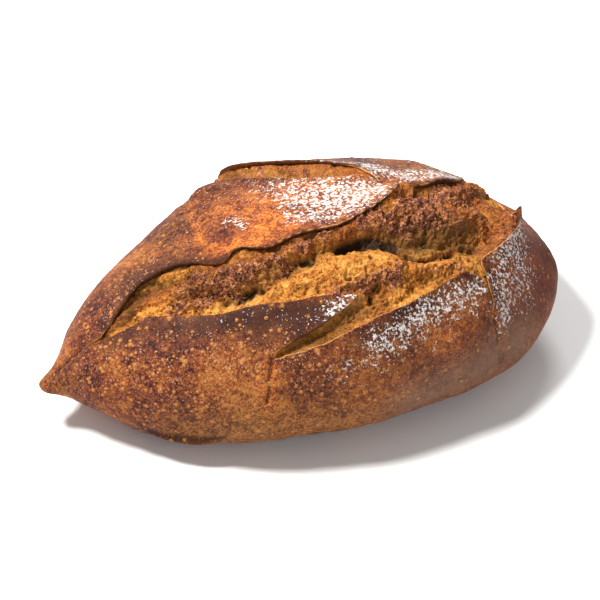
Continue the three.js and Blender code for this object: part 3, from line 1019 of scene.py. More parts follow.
    def _masks(
        self, points: np.ndarray, view: EdgeView, outline: np.ndarray, rings: int
    ) -> dict[Mask, np.ndarray]:
        """Paints the crust.

        Args:
            points: Places on the skin.
            view: How they lie by the torn edges.
            outline: The torn edges' sides.
            rings: How many copies of the places the mesh has.

        Returns:
            The masks, over all the copies.
        """
        painted = {
            Mask.FLOUR: self.flour,
            Mask.CHAR: self.char,
            Mask.AMBER: self.amber,
            Mask.GREY: self.grey,
            Mask.TAN: self.tan,
            Mask.CALM: self.calm,
            Mask.SPECK: self.specks,
        }
        masks = {mask: paint(self.skin, lines, points) for mask, lines in painted.items()}
        masks[Mask.DOME], masks[Mask.BLISTER] = self._blisters(points)
        masks[Mask.RIM] = np.zeros(len(points))
        masks[Mask.RIM][np.unique(outline)] = 1
        whole = {mask: np.tile(values, rings) for mask, values in masks.items()}
        by_lift = self.rear_lift_share * smooth_step(*self.rear_lift, view.lift)
        rear = np.maximum(smooth_step(*self.rear_under, view.under), by_lift)
        walls = rings - 2
        bulge, top = walls * len(points), (walls + 1) * len(points)
        whole[Mask.RIM][:bulge] = self.wall_rim
        whole[Mask.CHAR][:bulge] = np.tile(self.wall_char + self.wall_char_per_rear * rear, walls)
        whole[Mask.CHAR][bulge:top] = np.maximum(rear, self.wall_char)
        for mask in (Mask.BLISTER, Mask.DOME, Mask.SPECK, Mask.FLOUR):
            whole[mask][:top] = 0
        return whole


# The crumb


@dataclass(frozen=True)
class CrumbPad:
    """The torn crumb in one opening: crests, valleys, pores and ragged strands.

    A crest is a line of places, each a distance along, an angle, a height over the skin and a
    half width. A hollow's strength is its depth.
    """

    skin: Skin
    edges: TornEdges
    along_range: tuple[float, float]
    angle_range: tuple[float, float]
    cell: float
    crests: tuple[tuple[Numbers, ...], ...]
    burns: tuple[Stroke, ...]
    # Strokes of red brown crumb, which also paint shade under the lips, in the notch and on shaded slopes.
    rust_and_shade_strokes: tuple[Stroke, ...] = ()
    # Each hollow digs the crumb and also paints shade along its line.
    hollows: tuple[Stroke, ...] = ()
    # Strokes of painted shade.
    shades: tuple[Stroke, ...] = ()
    valley: float = -9.0
    foot_drop: float = 1.3
    drop_per_under: float = 0.5
    tip_drop: float = 7.0
    tip_lift: float = 16.0
    foot_reach: float = 3.5
    reach_per_lift: float = 0.5
    ragged: tuple[tuple[float, float], ...] = ((10.0, 3.0), (4.0, 1.3))
    margin: float = 5.0
    tuck: float = 0.45
    foot_calm: float = 0.3
    core: tuple[float, float, float] = (0.0, 0.0, 42.0)
    widest: float = 90.0
    crest_samples: int = 6
    crest_power: float = 1.4
    crest_joining: int = 4
    crag_base: float = 0.55
    crag_per_burn: float = 1.15
    twist_size: float = 5.0
    twist: float = 1.6
    swell_size: float = 15.0
    swell_height: float = 1.5
    ridges: tuple[tuple[int, float, float], ...] = ((42, 7.5, 3.4), (43, 3.8, 2.4))
    ridge_level: float = 0.3
    strand_size: float = 1.8
    pores: tuple[tuple[int, float, float, float], ...] = ((45, 6.5, 2.6, 0.32), (49, 3.4, 1.6, 0.4))
    pore_radius: tuple[float, float] = (0.22, 0.26)
    pore_roundness: float = 0.7
    burn_base: float = 0.8
    burn_per_rough: float = 0.25
    # Painted shade: it fades in between the deep heights, reaches shade on the shade strokes and pit_shade
    # in pits below pit_depth.
    deep: tuple[float, float] = (-3.0, -8.0)
    shade: float = 0.77
    pit_shade: float = 0.62
    pit_depth: float = -2.6
    tips: tuple[float, float] = (-1.4, 2.2)

    def _ragged(self, points: np.ndarray) -> np.ndarray:
        """Shifts places about, so that what follows a line gets ragged sides.

        Args:
            points: Places on the skin.

        Returns:
            The shifted places.
        """
        shifted = points.copy()
        for k, (size, amount) in enumerate(self.ragged):
            shifts = [Grain(60 + 3 * k + axis).waves(shifted, size) for axis in range(3)]
            shifted += amount * np.stack(shifts, -1)
        return shifted

    def _open_height(self, points: np.ndarray) -> np.ndarray:
        """Works out the crests' height over the skin, away from the torn edges.

        Args:
            points: Places on the skin.

        Returns:
            The heights.
        """
        total = np.zeros(len(points))
        for crest in self.crests:
            line = smooth_line(crest, self.crest_samples)
            at = self.skin.point(line[:, 0], line[:, 1])
            best = np.zeros(len(points))
            for place, height, width in zip(at, line[:, 2], line[:, 3]):
                gap = np.sum((points - place) ** 2, axis=1) / width**2
                best = np.maximum(best, (height - self.valley) * np.exp(-(gap**self.crest_power)))
            total += best**self.crest_joining
        return self.valley + total ** (1 / self.crest_joining)

    def _roughness(self, points: np.ndarray, burn: np.ndarray) -> np.ndarray:
        """Tears the surface: strands, crags and pores.

        Args:
            points: Places on the skin.
            burn: How burnt they are, which makes them craggier.

        Returns:
            The height to add.
        """
        crag = self.crag_base + self.crag_per_burn * burn
        shifts = [Grain(46 + axis).waves(points, self.twist_size) for axis in range(3)]
        bent = points + self.twist * np.stack(shifts, -1)
        total = self.swell_height * Grain(41).waves(points, self.swell_size)
        for seed, size, height in self.ridges:
            total += crag * height * (self.ridge_level - np.abs(Grain(seed).waves(bent, size)))
        total += crag * Grain(44).waves(points, self.strand_size)
        smallest, wider = self.pore_radius
        for seed, size, depth, share in self.pores:
            distance, chance = Grain(seed).cells(bent, size)
            radius = smallest + wider * ((chance * 5.17) % 1)
            bowl = np.clip(1 - (distance / radius) ** 2, 0, None) ** self.pore_roundness
            total -= crag * depth * bowl * (chance < share)
        return total

    def _height(self, ragged: np.ndarray, rough: np.ndarray, view: EdgeView) -> np.ndarray:
        """Works out how far the crumb stands over the skin.

        Args:
            ragged: Places on the skin, shifted about.
            rough: The roughness there.
            view: How the places lie by the torn edges.

        Returns:
            The heights.
        """
        smooth = self._open_height(ragged)
        tip = self.tip_drop * (view.lift / self.tip_lift) ** 4
        foot = view.lift - self.foot_drop - self.drop_per_under * view.under - tip
        reach = self.foot_reach + self.reach_per_lift * np.clip(view.lift, 0, None)
        near = np.exp(-((np.minimum(view.distance, 0) / reach) ** 2))
        height = smooth + (foot - smooth) * near
        for stroke in self.hollows:
            height -= stroke.mask(self.skin, ragged)
        height += rough * (1 - self.foot_calm * near)
        return height - self.tuck * np.clip(view.distance, 0, None)

    def _masks(
        self, ragged: np.ndarray, height: np.ndarray, rough: np.ndarray, burn: np.ndarray
    ) -> dict[Mask, np.ndarray]:
        """Paints the crumb, and the core that closes the mesh.

        Args:
            ragged: Places on the skin, shifted about.
            height: How far the crumb stands over them.
            rough: The roughness there.
            burn: How burnt they are.

        Returns:
            The masks, with the core last.
        """
        # Painted shade: deep places, hollows, shade strokes and pits are darkened where shade falls.
        hollow = smooth_step(*self.deep, height)
        for stroke in self.hollows:
            hollow = np.maximum(hollow, stroke.fade(self.skin, ragged))
        hollow = np.maximum(hollow, self.shade * paint(self.skin, self.shades, ragged))
        hollow = np.maximum(hollow, self.pit_shade * smooth_step(0.0, self.pit_depth, rough))
        return {
            Mask.BURN: np.append(burn * (self.burn_base + self.burn_per_rough * rough), 0),
            Mask.HOLLOW_SHADE: np.append(hollow, 1),
            Mask.TIP: np.append(smooth_step(*self.tips, rough), 0),
            Mask.RUST_AND_SHADE: np.append(paint(self.skin, self.rust_and_shade_strokes, ragged), 0),
        }

    def _sheet(self) -> Sheet:
        """Cuts the grid a little way under the crust.

        Returns:
            The cut sheet.
        """
        low, high = self.along_range
        low_angle, high_angle = self.angle_range
        columns = int(math.radians(high_angle - low_angle) * self.widest / self.cell)
        stations = np.linspace(low, high, int((high - low) / self.cell))
        angles = np.linspace(low_angle, high_angle, columns)
        along, angle = (part.ravel() for part in np.meshgrid(stations, angles, indexing="ij"))
        field = self.edges.view(along, angle).distance - self.margin
        return Sheet.cut(along, angle, field, grid_triangles(len(stations), len(angles), closed=False))

    def body(self) -> Body:
        """Builds the pad's closed mesh.

        Returns:
            The mesh with its masks.
        """
        sheet = self._sheet()
        kept, _ = without_pinches(sheet.inner)
        view = self.edges.view(sheet.along, sheet.angle)
        points = self.skin.point(sheet.along, sheet.angle)
        ragged = self._ragged(points)
        burn = paint(self.skin, self.burns, ragged)
        rough = self._roughness(points, burn)
        height = self._height(ragged, rough, view)
        top = points + self.skin.normal(sheet.along, sheet.angle) * height[:, None]
        outline = open_edges(kept)
        closing = np.stack([outline[:, 1], outline[:, 0], np.full(len(outline), len(top))], -1)
        masks = self._masks(ragged, height, rough, burn)
        return Body(np.vstack([top, self.core]), np.concatenate([kept, closing]), masks)


# Finishes


def math_operator(operation: str, other_first: bool = False) -> Callable[[Value, object], Value]:
    """Makes an operator of Value.

    Args:
        operation: The operation of the Math node that it adds.
        other_first: Whether the other value comes first.

    Returns:
        The operator.
    """

    def operator(self: Value, other: object) -> Value:
        """Adds the node."""
        values = (other, self) if other_first else (self, other)
        return self.graph.node("ShaderNodeMath", {"operation": operation}, dict(enumerate(values)))

    return operator


class Value:
    """A shader socket that takes part in Python expressions."""

    def __init__(self, graph: Graph, socket: bpy.types.NodeSocket | None) -> None:
        """Wraps a socket of a graph."""
        self.graph = graph
        self.socket = socket

    __add__ = math_operator("ADD")
    __radd__ = math_operator("ADD", other_first=True)
    __sub__ = math_operator("SUBTRACT")
    __rsub__ = math_operator("SUBTRACT", other_first=True)
    __mul__ = math_operator("MULTIPLY")
    __rmul__ = math_operator("MULTIPLY", other_first=True)
    __truediv__ = math_operator("DIVIDE")
    __pow__ = math_operator("POWER")
    most = math_operator("MAXIMUM")
    least = math_operator("MINIMUM")

    def step(self, low: float, high: float) -> Value:
        """Rises smoothly from 0 at low to 1 at high."""
        values = {"Value": self, "From Min": low, "From Max": high}
        return self.graph.node("ShaderNodeMapRange", {"interpolation_type": "SMOOTHSTEP"}, values)

    def also(self, output: str) -> Value:
        """Returns another output of the same node."""
        return Value(self.graph, self.socket.node.outputs[output])


@dataclass(frozen=True)
class Noise:
    """Fractal noise, with values about 0.5.

    Attributes:
        size: The length of its largest waves, in millimetres.
        detail: How many finer waves lie on them.
        rough: How strong those are.
        warp: How far the pattern is twisted.
    """

    size: float
    detail: float = 2.0
    rough: float = 0.5
    warp: float = 0.0


class Graph:
    """A material's nodes."""

    def __init__(self, name: str) -> None:
        """Starts an empty material.

        Args:
            name: The material's name.
        """
        self.material = bpy.data.materials.new(name)
        self.material.use_nodes = True
        self.material.node_tree.nodes.clear()
        self.place = self.node("ShaderNodeTexCoord", {}, {}, "Object")

    def node(
        self, kind: str, settings: dict[str, object], values: dict[str | int, object], output: str | int = 0
    ) -> Value:
        """Adds a node.

        Args:
            kind: Its type.
            settings: What is set on the node itself; "stops" sets a ramp's stops.
            values: The value or link of each socket, by name or number.
            output: The output socket to return.

        Returns:
            That output.
        """
        node = self.material.node_tree.nodes.new(kind)
        for name, setting in settings.items():
            if name == "stops":
                self._set_stops(node.color_ramp, setting)
            else:
                setattr(node, name, setting)
        for key, value in values.items():
            socket = node.inputs[key]
            if isinstance(value, Value):
                self.material.node_tree.links.new(value.socket, socket)
            else:
                socket.default_value = value
        return Value(self, node.outputs[output]) if len(node.outputs) else Value(self, None)

    @staticmethod
    def _set_stops(ramp: bpy.types.ColorRamp, stops: Sequence[tuple[float, Colour]]) -> None:
        """Sets a ramp's stops.

        Args:
            ramp: The ramp.
            stops: Each stop's position and colour.
        """
        while len(ramp.elements) < len(stops):
            ramp.elements.new(1.0)
        for element, (position, colour) in zip(ramp.elements, stops):
            element.position = position
            element.color = (*colour, 1.0)

    def mask(self, mask: Mask) -> Value:
        """Reads a painted mask."""
        return self.node("ShaderNodeAttribute", {"attribute_name": mask.value}, {}, "Fac")

    def noise(self, noise: Noise) -> Value:
        """Adds fractal noise.

        Args:
            noise: What it is like.

        Returns:
            Its value.
        """
        values = {"Vector": self.place, "Scale": 1 / (noise.size * MM), "Detail": noise.detail}
        values |= {"Roughness": noise.rough, "Distortion": noise.warp}
        return self.node("ShaderNodeTexNoise", {}, values)

    def ramp(self, value: Value, *stops: tuple[float, Colour]) -> Value:
        """Turns a value into a colour, by stops of a position and a colour each."""
        return self.node("ShaderNodeValToRGB", {"stops": stops}, {"Fac": value})

    def mix(self, factor: object, a: object, b: object) -> Value:
        """Mixes two colours.

        Args:
            factor: How much of the second is used.
            a: The first colour.
            b: The second.

        Returns:
            The mixed colour.
        """
        colours = [(*c, 1.0) if isinstance(c, tuple) else c for c in (a, b)]
        settings = {"data_type": "RGBA", "clamp_factor": True}
        return self.node("ShaderNodeMix", settings, {0: factor, 6: colours[0], 7: colours[1]}, 2)

    def bump(
        self, height: Value, distance: float, strength: float = 1.0, below: Value | None = None
    ) -> Value:
        """Adds a Bump node.

        Args:
            height: The height, from 0 to 1.
            distance: The relief's depth, in millimetres.
            strength: How strong it is.
            below: The normal that it lies on, if not the mesh's own.

        Returns:
            The bumped normal.
        """
        values = {"Height": height, "Distance": distance * MM, "Strength": strength}
        if below is not None:
            values["Normal"] = below
        return self.node("ShaderNodeBump", {}, values)

    def finish(
        self, colour: object, roughness: object, normal: Value | None, specular: float
    ) -> bpy.types.Material:
        """Closes the material with a Principled shader.

        Args:
            colour: The base colour.
            roughness: The roughness.
            normal: The bumped normal, if any.
            specular: The specular level.

        Returns:
            The material.
        """
        values = {"Base Color": colour, "Roughness": roughness, "Specular IOR Level": specular}
        if normal is not None:
            values["Normal"] = normal
        shader = self.node("ShaderNodeBsdfPrincipled", {}, values)
        self.node("ShaderNodeOutputMaterial", {}, {"Surface": shader})
        return self.material


@dataclass(frozen=True)
class CrustFinish:
    """Baked crust: mottled brown, amber where it is thin, charred at the edges and dusted with flour."""

    deep: Colour = (0.032, 0.009, 0.007)
    plum: Colour = (0.115, 0.029, 0.018)
    russet: Colour = (0.215, 0.058, 0.016)
    pale: Colour = (0.38, 0.138, 0.036)
    amber: Colour = (0.66, 0.205, 0.034)
    amber_deep: Colour = (0.25, 0.052, 0.015)
    tan: Colour = (0.30, 0.125, 0.034)
    tan_deep: Colour = (0.105, 0.036, 0.010)
    grey: Colour = (0.235, 0.142, 0.092)
    grey_deep: Colour = (0.125, 0.066, 0.041)
    blister: Colour = (0.50, 0.20, 0.055)
    char: Colour = (0.030, 0.010, 0.006)
    rim: Colour = (0.52, 0.25, 0.10)
    wall: Colour = (0.42, 0.14, 0.024)
    wall_deep: Colour = (0.12, 0.032, 0.008)
    flour: Colour = (0.74, 0.705, 0.675)
    broad: Noise = Noise(38, 2, 0.5)
    mottle: Noise = Noise(7, 3, 0.6, 0.4)
    fine: Noise = Noise(1.9, 2, 0.6)
    speck: Noise = Noise(0.85, 1, 0.5)
    clumps: Noise = Noise(4.2, 2, 0.5)
    dots: Noise = Noise(0.9, 0, 0.5)
    dust: Noise = Noise(1.6, 3, 0.65)
    blister_cells: tuple[tuple[float, float], ...] = ((3.3, 0.0), (2.0, -0.1))
    relief_depth: float = 0.7
    relief_strength: float = 0.9
    dome_depth: float = 0.9
    specular: float = 0.11

    def _blisters(self, g: Graph, size: float, shift: float, common: Value) -> Value:
        """Adds round blisters, one to a cell of space.

        Args:
            g: The material's nodes.
            size: The side of a cell, in millimetres.
            shift: Added to the chance of each, from -1 to 1.
            common: Where they are common.

        Returns:
            Each blister's dome, from 0 to 1.
        """
        values = {"Vector": g.place, "Scale": 1 / (size * MM)}
        distance = g.node("ShaderNodeTexVoronoi", {}, values, "Distance")
        chance = g.node("ShaderNodeSeparateColor", {}, {0: distance.also("Color")}, "Red")
        radius = 0.18 + 0.24 * chance.also("Green") ** 1.6
        dome = (1 - (distance / radius) ** 2.0).most(0.0)
        return dome * (common + shift - chance).step(0.0, 0.04)

    def _dusting(self, g: Graph, speck: Value) -> Value:
        """Dusts the crust with flour, in clumps and in single specks.

        Args:
            g: The material's nodes.
            speck: The finest grain.

        Returns:
            How far the flour covers the crust, from 0 to 1.
        """
        clump = g.noise(self.clumps)
        dots = (g.noise(self.dots) + 0.3 * clump).step(0.90, 0.96) * g.mask(Mask.SPECK)
        cover = g.mask(Mask.FLOUR)
        level = 0.76 * g.noise(self.dust) + 0.24 * clump + 0.205 * cover
        dust = level.step(0.655, 0.74) * cover.step(0.02, 0.15)
        return (dust * (0.55 + 0.6 * speck)).most(0.8 * dots).least(0.90)

    def build(self) -> bpy.types.Material:
        """Makes the material.

        Returns:
            The material.
        """
        g = Graph("baked_crust")
        broad, mottle, fine, speck = map(g.noise, (self.broad, self.mottle, self.fine, self.speck))
        calm = g.mask(Mask.CALM)
        blend = 0.28 * broad + 0.24 * mottle + 0.28 * fine + 0.20 * speck
        tone = 0.5 + (blend - 0.5) * (1.95 - 1.2 * calm) - 0.015 * calm
        base = g.ramp(tone, (0.35, self.deep), (0.45, self.plum), (0.55, self.russet), (0.66, self.pale))
        grain = 0.5 + ((0.30 * mottle + 0.36 * fine + 0.34 * speck) - 0.5) * (1.7 - 1.2 * calm)
        grain = grain.step(0.40, 0.60)
        covers = (
            ((g.mask(Mask.AMBER) * (0.3 + 1.3 * mottle)).least(0.95), self.amber_deep, self.amber),
            (g.mask(Mask.TAN) * (0.5 + broad), self.tan_deep, self.tan),
            (g.mask(Mask.GREY) * 0.85, self.grey_deep, self.grey),
        )
        for amount, deep, light in covers:
            base = g.mix(amount, base, g.mix(grain, deep, light))
        common = g.mask(Mask.BLISTER)
        large, small = (self._blisters(g, size, shift, common) for size, shift in self.blister_cells)
        domes = large.most(small)
        char_cover = g.mask(Mask.CHAR) * (0.35 + 0.9 * fine + 0.5 * mottle)
        base = g.mix(char_cover.least(0.95), base, self.char)
        raised = (domes * 3.0).most(g.mask(Mask.DOME) * 1.3).least(0.85)
        base = g.mix(raised * (0.5 + 0.8 * fine), base, self.blister)
        torn = g.mask(Mask.RIM)
        strands = (0.4 * mottle + 0.3 * fine + 0.3 * speck).step(0.42, 0.58)
        wall = g.mix(strands, self.wall_deep, self.wall)
        wall = g.mix(char_cover.least(0.9), wall, self.char)
        base = g.mix(torn.step(0.25, 0.5), base, wall)
        base = g.mix((torn * (1 - g.mask(Mask.CHAR))).step(0.62, 0.9), base, self.rim)
        flour = self._dusting(g, speck)
        base = g.mix(flour, base, self.flour)
        relief = 0.5 * fine + 0.35 * speck + 0.3 * flour
        normal = g.bump(relief, self.relief_depth, self.relief_strength)
        normal = g.bump(domes, self.dome_depth, below=normal)
        roughness = (0.50 + 0.22 * fine + 0.3 * flour).least(0.95)
        return g.finish(base, roughness, normal, self.specular)


@dataclass(frozen=True)
class CrumbFinish:
    """Torn crumb: golden, straw in its pits, red brown on its tips and burnt on its crests."""

    gold: Colour = (0.52, 0.195, 0.022)
    straw: Colour = (0.68, 0.345, 0.085)
    brown: Colour = (0.145, 0.036, 0.006)
    # Painted shade: olive in the hollows, near black in the deepest of them.
    olive_shade: Colour = (0.085, 0.036, 0.007)
    deepest_shade: Colour = (0.018, 0.008, 0.004)
    rust: Colour = (0.34, 0.082, 0.013)
    # Red brown crumb on tips and under the rust strokes; under those strokes it is partly painted shade.
    rust_deep: Colour = (0.095, 0.024, 0.009)
    burnt: Colour = (0.034, 0.010, 0.009)
    plum: Colour = (0.135, 0.042, 0.026)
    toast: Colour = (0.36, 0.120, 0.040)
    # Pale toast, which also stands in for small painted highlights on the burnt crags.
    toast_pale_and_highlight: Colour = (0.58, 0.28, 0.125)
    broad: Noise = Noise(16, 2, 0.6, 0.5)
    mottle: Noise = Noise(4.2, 3, 0.65, 0.5)
    fine: Noise = Noise(1.3, 2, 0.65)
    grit: Noise = Noise(0.8, 1, 0.5)
    relief_depth: float = 2.6
    specular: float = 0.2

    def build(self) -> bpy.types.Material:
        """Makes the material.

        Returns:
            The material.
        """
        g = Graph("torn_crumb")
        broad, mottle, fine, grit = map(g.noise, (self.broad, self.mottle, self.fine, self.grit))
        tone = 0.22 * broad + 0.28 * mottle + 0.28 * fine + 0.22 * grit
        base = g.ramp(tone, (0.42, self.brown), (0.495, self.gold), (0.575, self.straw))
        tips = (g.mask(Mask.TIP) * (0.1 + 1.2 * broad * (0.5 + grit))).step(0.28, 0.85)
        base = g.mix(0.85 * tips, base, self.rust)
        # Rust strokes: red brown crumb, partly painted shade.
        rust = (g.mask(Mask.RUST_AND_SHADE) * (0.1 + 0.7 * mottle + 0.9 * grit)).step(0.30, 0.85)
        base = g.mix(0.85 * rust, base, g.mix(fine.step(0.42, 0.58), self.rust_deep, self.rust))
        # Painted shade: olive in the hollows and pits, near black in the deepest.
        hollow = g.mask(Mask.HOLLOW_SHADE)
        base = g.mix((hollow * (0.6 + mottle)).least(0.9), base, self.olive_shade)
        base = g.mix(hollow.step(0.78, 1.0) * (0.35 + 0.9 * mottle), base, self.deepest_shade)
        # The palest stop is partly painted highlight on the crags.
        shades = ((0.43, self.burnt), (0.485, self.plum), (0.54, self.toast), (0.60, self.toast_pale_and_highlight))
        crust = g.ramp(0.35 * mottle + 0.35 * fine + 0.30 * grit, *shades)
        burn = g.mask(Mask.BURN) * (0.15 + 0.75 * mottle + 0.75 * fine)
        base = g.mix(burn.step(0.25, 0.62) * 0.92, base, crust)
        normal = g.bump(0.45 * mottle + 0.35 * fine + 0.2 * grit, self.relief_depth)
        return g.finish(base, 0.62 + 0.2 * fine, normal, self.specular)


@dataclass(frozen=True)
class FloorFinish:
    """Plain pale matt paper."""

    colour: Colour = (0.93, 0.93, 0.925)
    roughness: float = 0.9
    specular: float = 0.1

    def build(self) -> bpy.types.Material:
        """Makes the material.

        Returns:
            The material.
        """
        return Graph("pale_floor").finish((*self.colour, 1.0), self.roughness, None, self.specular)


# The studio


@dataclass(frozen=True)
class SoftLight:
    """An area light that faces the loaf."""

    name: str
    place: tuple[float, float, float]
    size: float
    power: float
    colour: Colour = (1.0, 1.0, 1.0)


@dataclass(frozen=True)
class Studio:
    """The floor, the lights and the camera."""

    azimuth: float = -21.8
    elevation: float = 40.0
    distance: float = 1.1
    pivot_height: float = 0.045
    aim_right: float = 0.001
    aim_down: float = 0.0046
    lens: float = 119.2
    lights: tuple[SoftLight, ...] = (
        SoftLight("key", (-0.5, 0.18, 1.05), 0.26, 22.0, (1.0, 0.97, 0.93)),
        SoftLight("rim", (0.45, 0.7, 0.9), 0.4, 7.0),
        SoftLight("fill", (-0.1, -1.0, 0.6), 0.8, 2.4),
    )
    lamp_target: tuple[float, float, float] = (0.0, 0.0, 0.05)
    surround: float = 0.33
    floor_half: float = 3.0
    floor_drop: float = 0.0002
    sensor: float = 36.0
    clip: tuple[float, float] = (0.05, 20.0)

    @staticmethod
    def _place(thing: bpy.types.Object, place: Sequence[float], target: Sequence[float]) -> None:
        """Links an object to the scene, with its -Z towards a target.

        Args:
            thing: The object.
            place: Where it stands.
            target: What it faces.
        """
        thing.location = place
        thing.rotation_euler = (Vector(target) - Vector(place)).to_track_quat("-Z", "Y").to_euler()
        bpy.context.scene.collection.objects.link(thing)

    def _add_floor(self) -> None:
        """Adds the floor, just under the loaf."""
        half = self.floor_half
        corners = [(-half, -half, 0), (half, -half, 0), (half, half, 0), (-half, half, 0)]
        mesh = bpy.data.meshes.new("floor")
        mesh.from_pydata(corners, [], [(0, 1, 2, 3)])
        mesh.materials.append(FloorFinish().build())
        floor = bpy.data.objects.new("floor", mesh)
        floor.location.z = -self.floor_drop
        bpy.context.scene.collection.objects.link(floor)

    def _add_light(self) -> None:
        """Adds the lamps and the even light that surrounds the loaf."""
        for light in self.lights:
            data = bpy.data.lights.new(light.name, "AREA")
            data.shape = "DISK"
            data.size = light.size
            data.energy = light.power
            data.color = light.colour
            self._place(bpy.data.objects.new(light.name, data), light.place, self.lamp_target)
        world = bpy.data.worlds.new("surround")
        world.use_nodes = True
        background = world.node_tree.nodes["Background"].inputs
        background["Color"].default_value = (1, 1, 1, 1)
        background["Strength"].default_value = self.surround
        bpy.context.scene.world = world

    def _add_camera(self) -> None:
        """Adds the camera at the photograph's viewing angle."""
        turn, rise = math.radians(self.azimuth), math.radians(self.elevation)
        back = (math.sin(turn) * math.cos(rise), -math.cos(turn) * math.cos(rise), math.sin(rise))
        place = [self.distance * part for part in back]
        place[2] += self.pivot_height
        height = self.pivot_height - self.aim_down
        aim = (self.aim_right * math.cos(turn), self.aim_right * math.sin(turn), height)
        data = bpy.data.cameras.new("camera")
        data.sensor_width = self.sensor
        data.lens = self.lens
        data.clip_start, data.clip_end = self.clip
        camera = bpy.data.objects.new("camera", data)
        self._place(camera, place, aim)
        bpy.context.scene.camera = camera

    def build(self) -> None:
        """Adds the floor, the light and the camera."""
        self._add_floor()
        self._add_light()
        self._add_camera()
        bpy.context.scene.view_settings.view_transform = "Standard"


# The whole


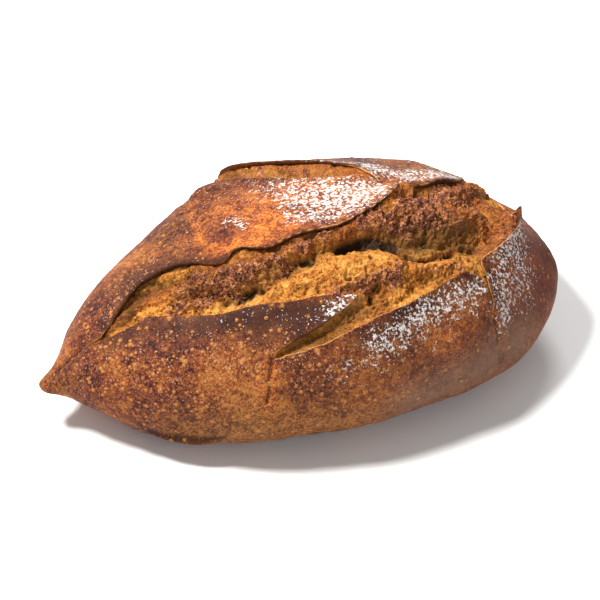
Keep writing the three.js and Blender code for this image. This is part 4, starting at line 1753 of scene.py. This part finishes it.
@dataclass(frozen=True)
class Loaf:
    """The dressed loaf: its crust and the torn crumb in its openings."""

    skin: Skin = Skin()
    edges: TornEdges = TornEdges(Skin())
    node: str = "loaf"
    slot: str = "baked_crust"

    def _front_pad(self) -> CrumbPad:
        """Lays out the crumb in the large burst.

        Returns:
            The pad.
        """
        return CrumbPad(
            self.skin, self.edges, (-133, 142), (-47, 70), 0.5,
            crests=(
                ((-118, 17, -2.5, 2), (-105, 16.5, -1.5, 3), (-90, 14.5, -1, 6), (-75, 21, -1, 7),
                 (-43, 28.8, -1, 5), (-16, 28.8, 0, 9), (8, 27.5, 1.5, 14), (28, 31, 2, 14),
                 (54, 37, 1.5, 9), (78, 36.5, 0.5, 8)),
                ((-76, 19, 0, 6), (-70.5, 12.5, 1, 7), (-58.5, 10.5, 2, 8), (-45, 15, 3, 9),
                 (-34, 17, 3, 9), (-23, 15, 2, 8), (-8, 12.5, 0, 6), (16, 10, -2, 5),
                 (38, 8.4, -1, 6)),
                ((38, 12, 1.5, 9), (57, 10.5, 4, 14), (78, 11.5, 4.5, 18), (100, 10, 1.5, 18),
                 (114, 4, -1, 8)),
                ((48, 25, -4, 5), (70, 29, -3.5, 6), (90, 26, -3, 6)),
                ((88, 1, 2, 8), (99, -5, 4, 10), (108, -12, 5, 10), (116, -21, 4.5, 10),
                 (122, -30, 3, 9)),
                ((112, -1, 1.5, 10), (121, -9, 0.5, 10), (128, -17, -1, 9), (128, -28, -0.5, 8)),
                ((-36, 24, -5, 5), (-20, 21.5, -4, 5), (0, 19, -4, 5), (12, 18, -5.5, 4)),
                ((-106, 10, -3, 5), (-92, 6, -2.5, 6), (-76, 7, -2.5, 6), (-66, 7, -3, 5)),
                ((-36, 56, -4, 3), (-10, 51.5, -3, 5), (10, 46.5, -2, 6), (34, 43, -0.5, 9)),
            ),
            burns=strokes(
                (7.5, 1.0, (-78, 20), (-70, 14), (-58, 14), (-45, 17), (-34, 19), (-23, 17)),
                (5, 0.9, (-66, 22), (-50, 21)),
                (4.5, 0.8, (-8, 13), (12, 10)),
                (10, 1.0, (36, 10), (48, 13), (60, 13), (68, 14)),
                (9, 0.75, (60, 4), (84, 4), (98, 4)),
                (8, 0.6, (84, -4), (100, -7), (112, -10)),
                (3.5, 0.55, (121, 8), (115, 16), (106, 25), (95, 33)),
                (6, 0.5, (118, -14), (124, -26)),
                (8, 0.8, (4, 38), (18, 36), (34, 36)),
                (5, 0.45, (-14, 32), (0, 36)),
                (9, 0.35, (84, 20), (104, 14)),
                (4, 0.6, (50, 38), (72, 37)),
            ),
            # Red brown crumb, which is also painted shade under the rear lip, in the notch and on the
            # crests' shaded sides.
            rust_and_shade_strokes=strokes(
                (15, 0.9, (62, 2), (84, 4), (104, -2), (116, 0)),
                (14, 0.7, (70, 16), (96, 16)),
                (9, 0.6, (0, 36), (20, 38), (40, 40), (64, 39)),
                (8, 0.6, (-30, 53), (0, 50), (20, 47)),
                (7, 0.9, (-112, 13), (-90, 5), (-60, 9), (-30, 13), (0, 12), (30, 10)),
                (8, 1.0, (116, 12), (104, 24), (92, 33)),
                (12, 0.8, (100, -10), (116, -22), (128, -30)),
            ),
            # Hollows: dug out, and painted with shade along their lines.
            hollows=strokes(
                (3.6, 6.5, (15, 16.5), (20, 15.8), (25, 16.2)),
                (2.2, 4.5, (32, 16.6), (37, 17)),
                (2.2, 3.5, (-24, 21.5), (-16, 20), (-8, 18.5)),
                (1.9, 3.0, (-4, 18), (6, 16.8), (14, 16.6)),
                (2.2, 4.5, (38, 21), (42, 26), (49, 29.5), (60, 30), (74, 30)),
                (2.6, 3.5, (-56, 25), (-46, 26.5), (-36, 26)),
                (1.8, 3.0, (-98, 5), (-86, 1.5), (-74, 3.5)),
            ),
            # Painted shade on slopes under overhangs and along the lips.
            shades=strokes(
                (11, 1.0, (44, 20), (58, 22), (80, 26)),
                (8, 0.9, (54, 18), (72, 19), (84, 22)),
                (6, 0.8, (-34, 54), (-12, 50), (2, 45)),
                (4, 0.6, (4, 46), (22, 44)),
                (3.4, 1.0, (-116, 15), (-100, 7.5), (-88, 3), (-76, 3.5), (-62, 7)),
                (2.6, 0.7, (-60, 9), (-48, 12), (-34, 13)),
                (4.5, 0.7, (-30, 23), (-10, 20), (8, 17)),
                (3, 0.8, (86, 44), (86, 56)),
            ),
        )

    def _back_pad(self) -> CrumbPad:
        """Lays out the crumb in the slash behind the slab.

        Returns:
            The pad.
        """
        return CrumbPad(
            self.skin, self.edges, (-66, 60), (-80, -2), 0.9,
            crests=(
                ((-52, -70, -1, 5), (-34, -65, 1, 7), (-14, -53, 3, 8), (10, -32, 3, 8),
                 (40, -17, 1, 6)),
            ),
            burns=strokes((4.5, 0.6, (-30, -58), (-14, -46), (20, -24))),
            # Red brown crumb that is partly painted shade, and painted shade along the slash's lower side.
            rust_and_shade_strokes=strokes((12, 0.85, (-50, -68), (-20, -58), (10, -36), (40, -18))),
            shades=strokes((4, 0.7, (-50, -68), (-17, -50), (2, -32), (28, -18))),
        )

    def pieces(self) -> Iterable[tuple[str, Body, bpy.types.Material]]:
        """Builds the pieces one by one.

        Yields:
            Each piece's name, mesh and finish.
        """
        crust_finish, crumb_finish = CrustFinish().build(), CrumbFinish().build()
        yield "crust", Crust(self.skin, self.edges).body(), crust_finish
        yield "crumb", self._front_pad().body(), crumb_finish
        yield "crumb_back", self._back_pad().body(), crumb_finish

    def build(self) -> None:
        """Adds the pieces to the scene in place of the plain solid."""
        for name, body, finish in self.pieces():
            piece = body.to_object(name, finish)
            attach(piece, "root")
            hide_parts(self.node)
            LOG.info("%s: %d triangles", name, len(piece.data.polygons))


def main() -> None:
    """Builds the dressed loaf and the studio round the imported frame."""
    logging.basicConfig(level=logging.INFO, format="%(name)s: %(message)s")
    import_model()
    Loaf().build()
    Studio().build()


if __name__ == "__main__":
    main()
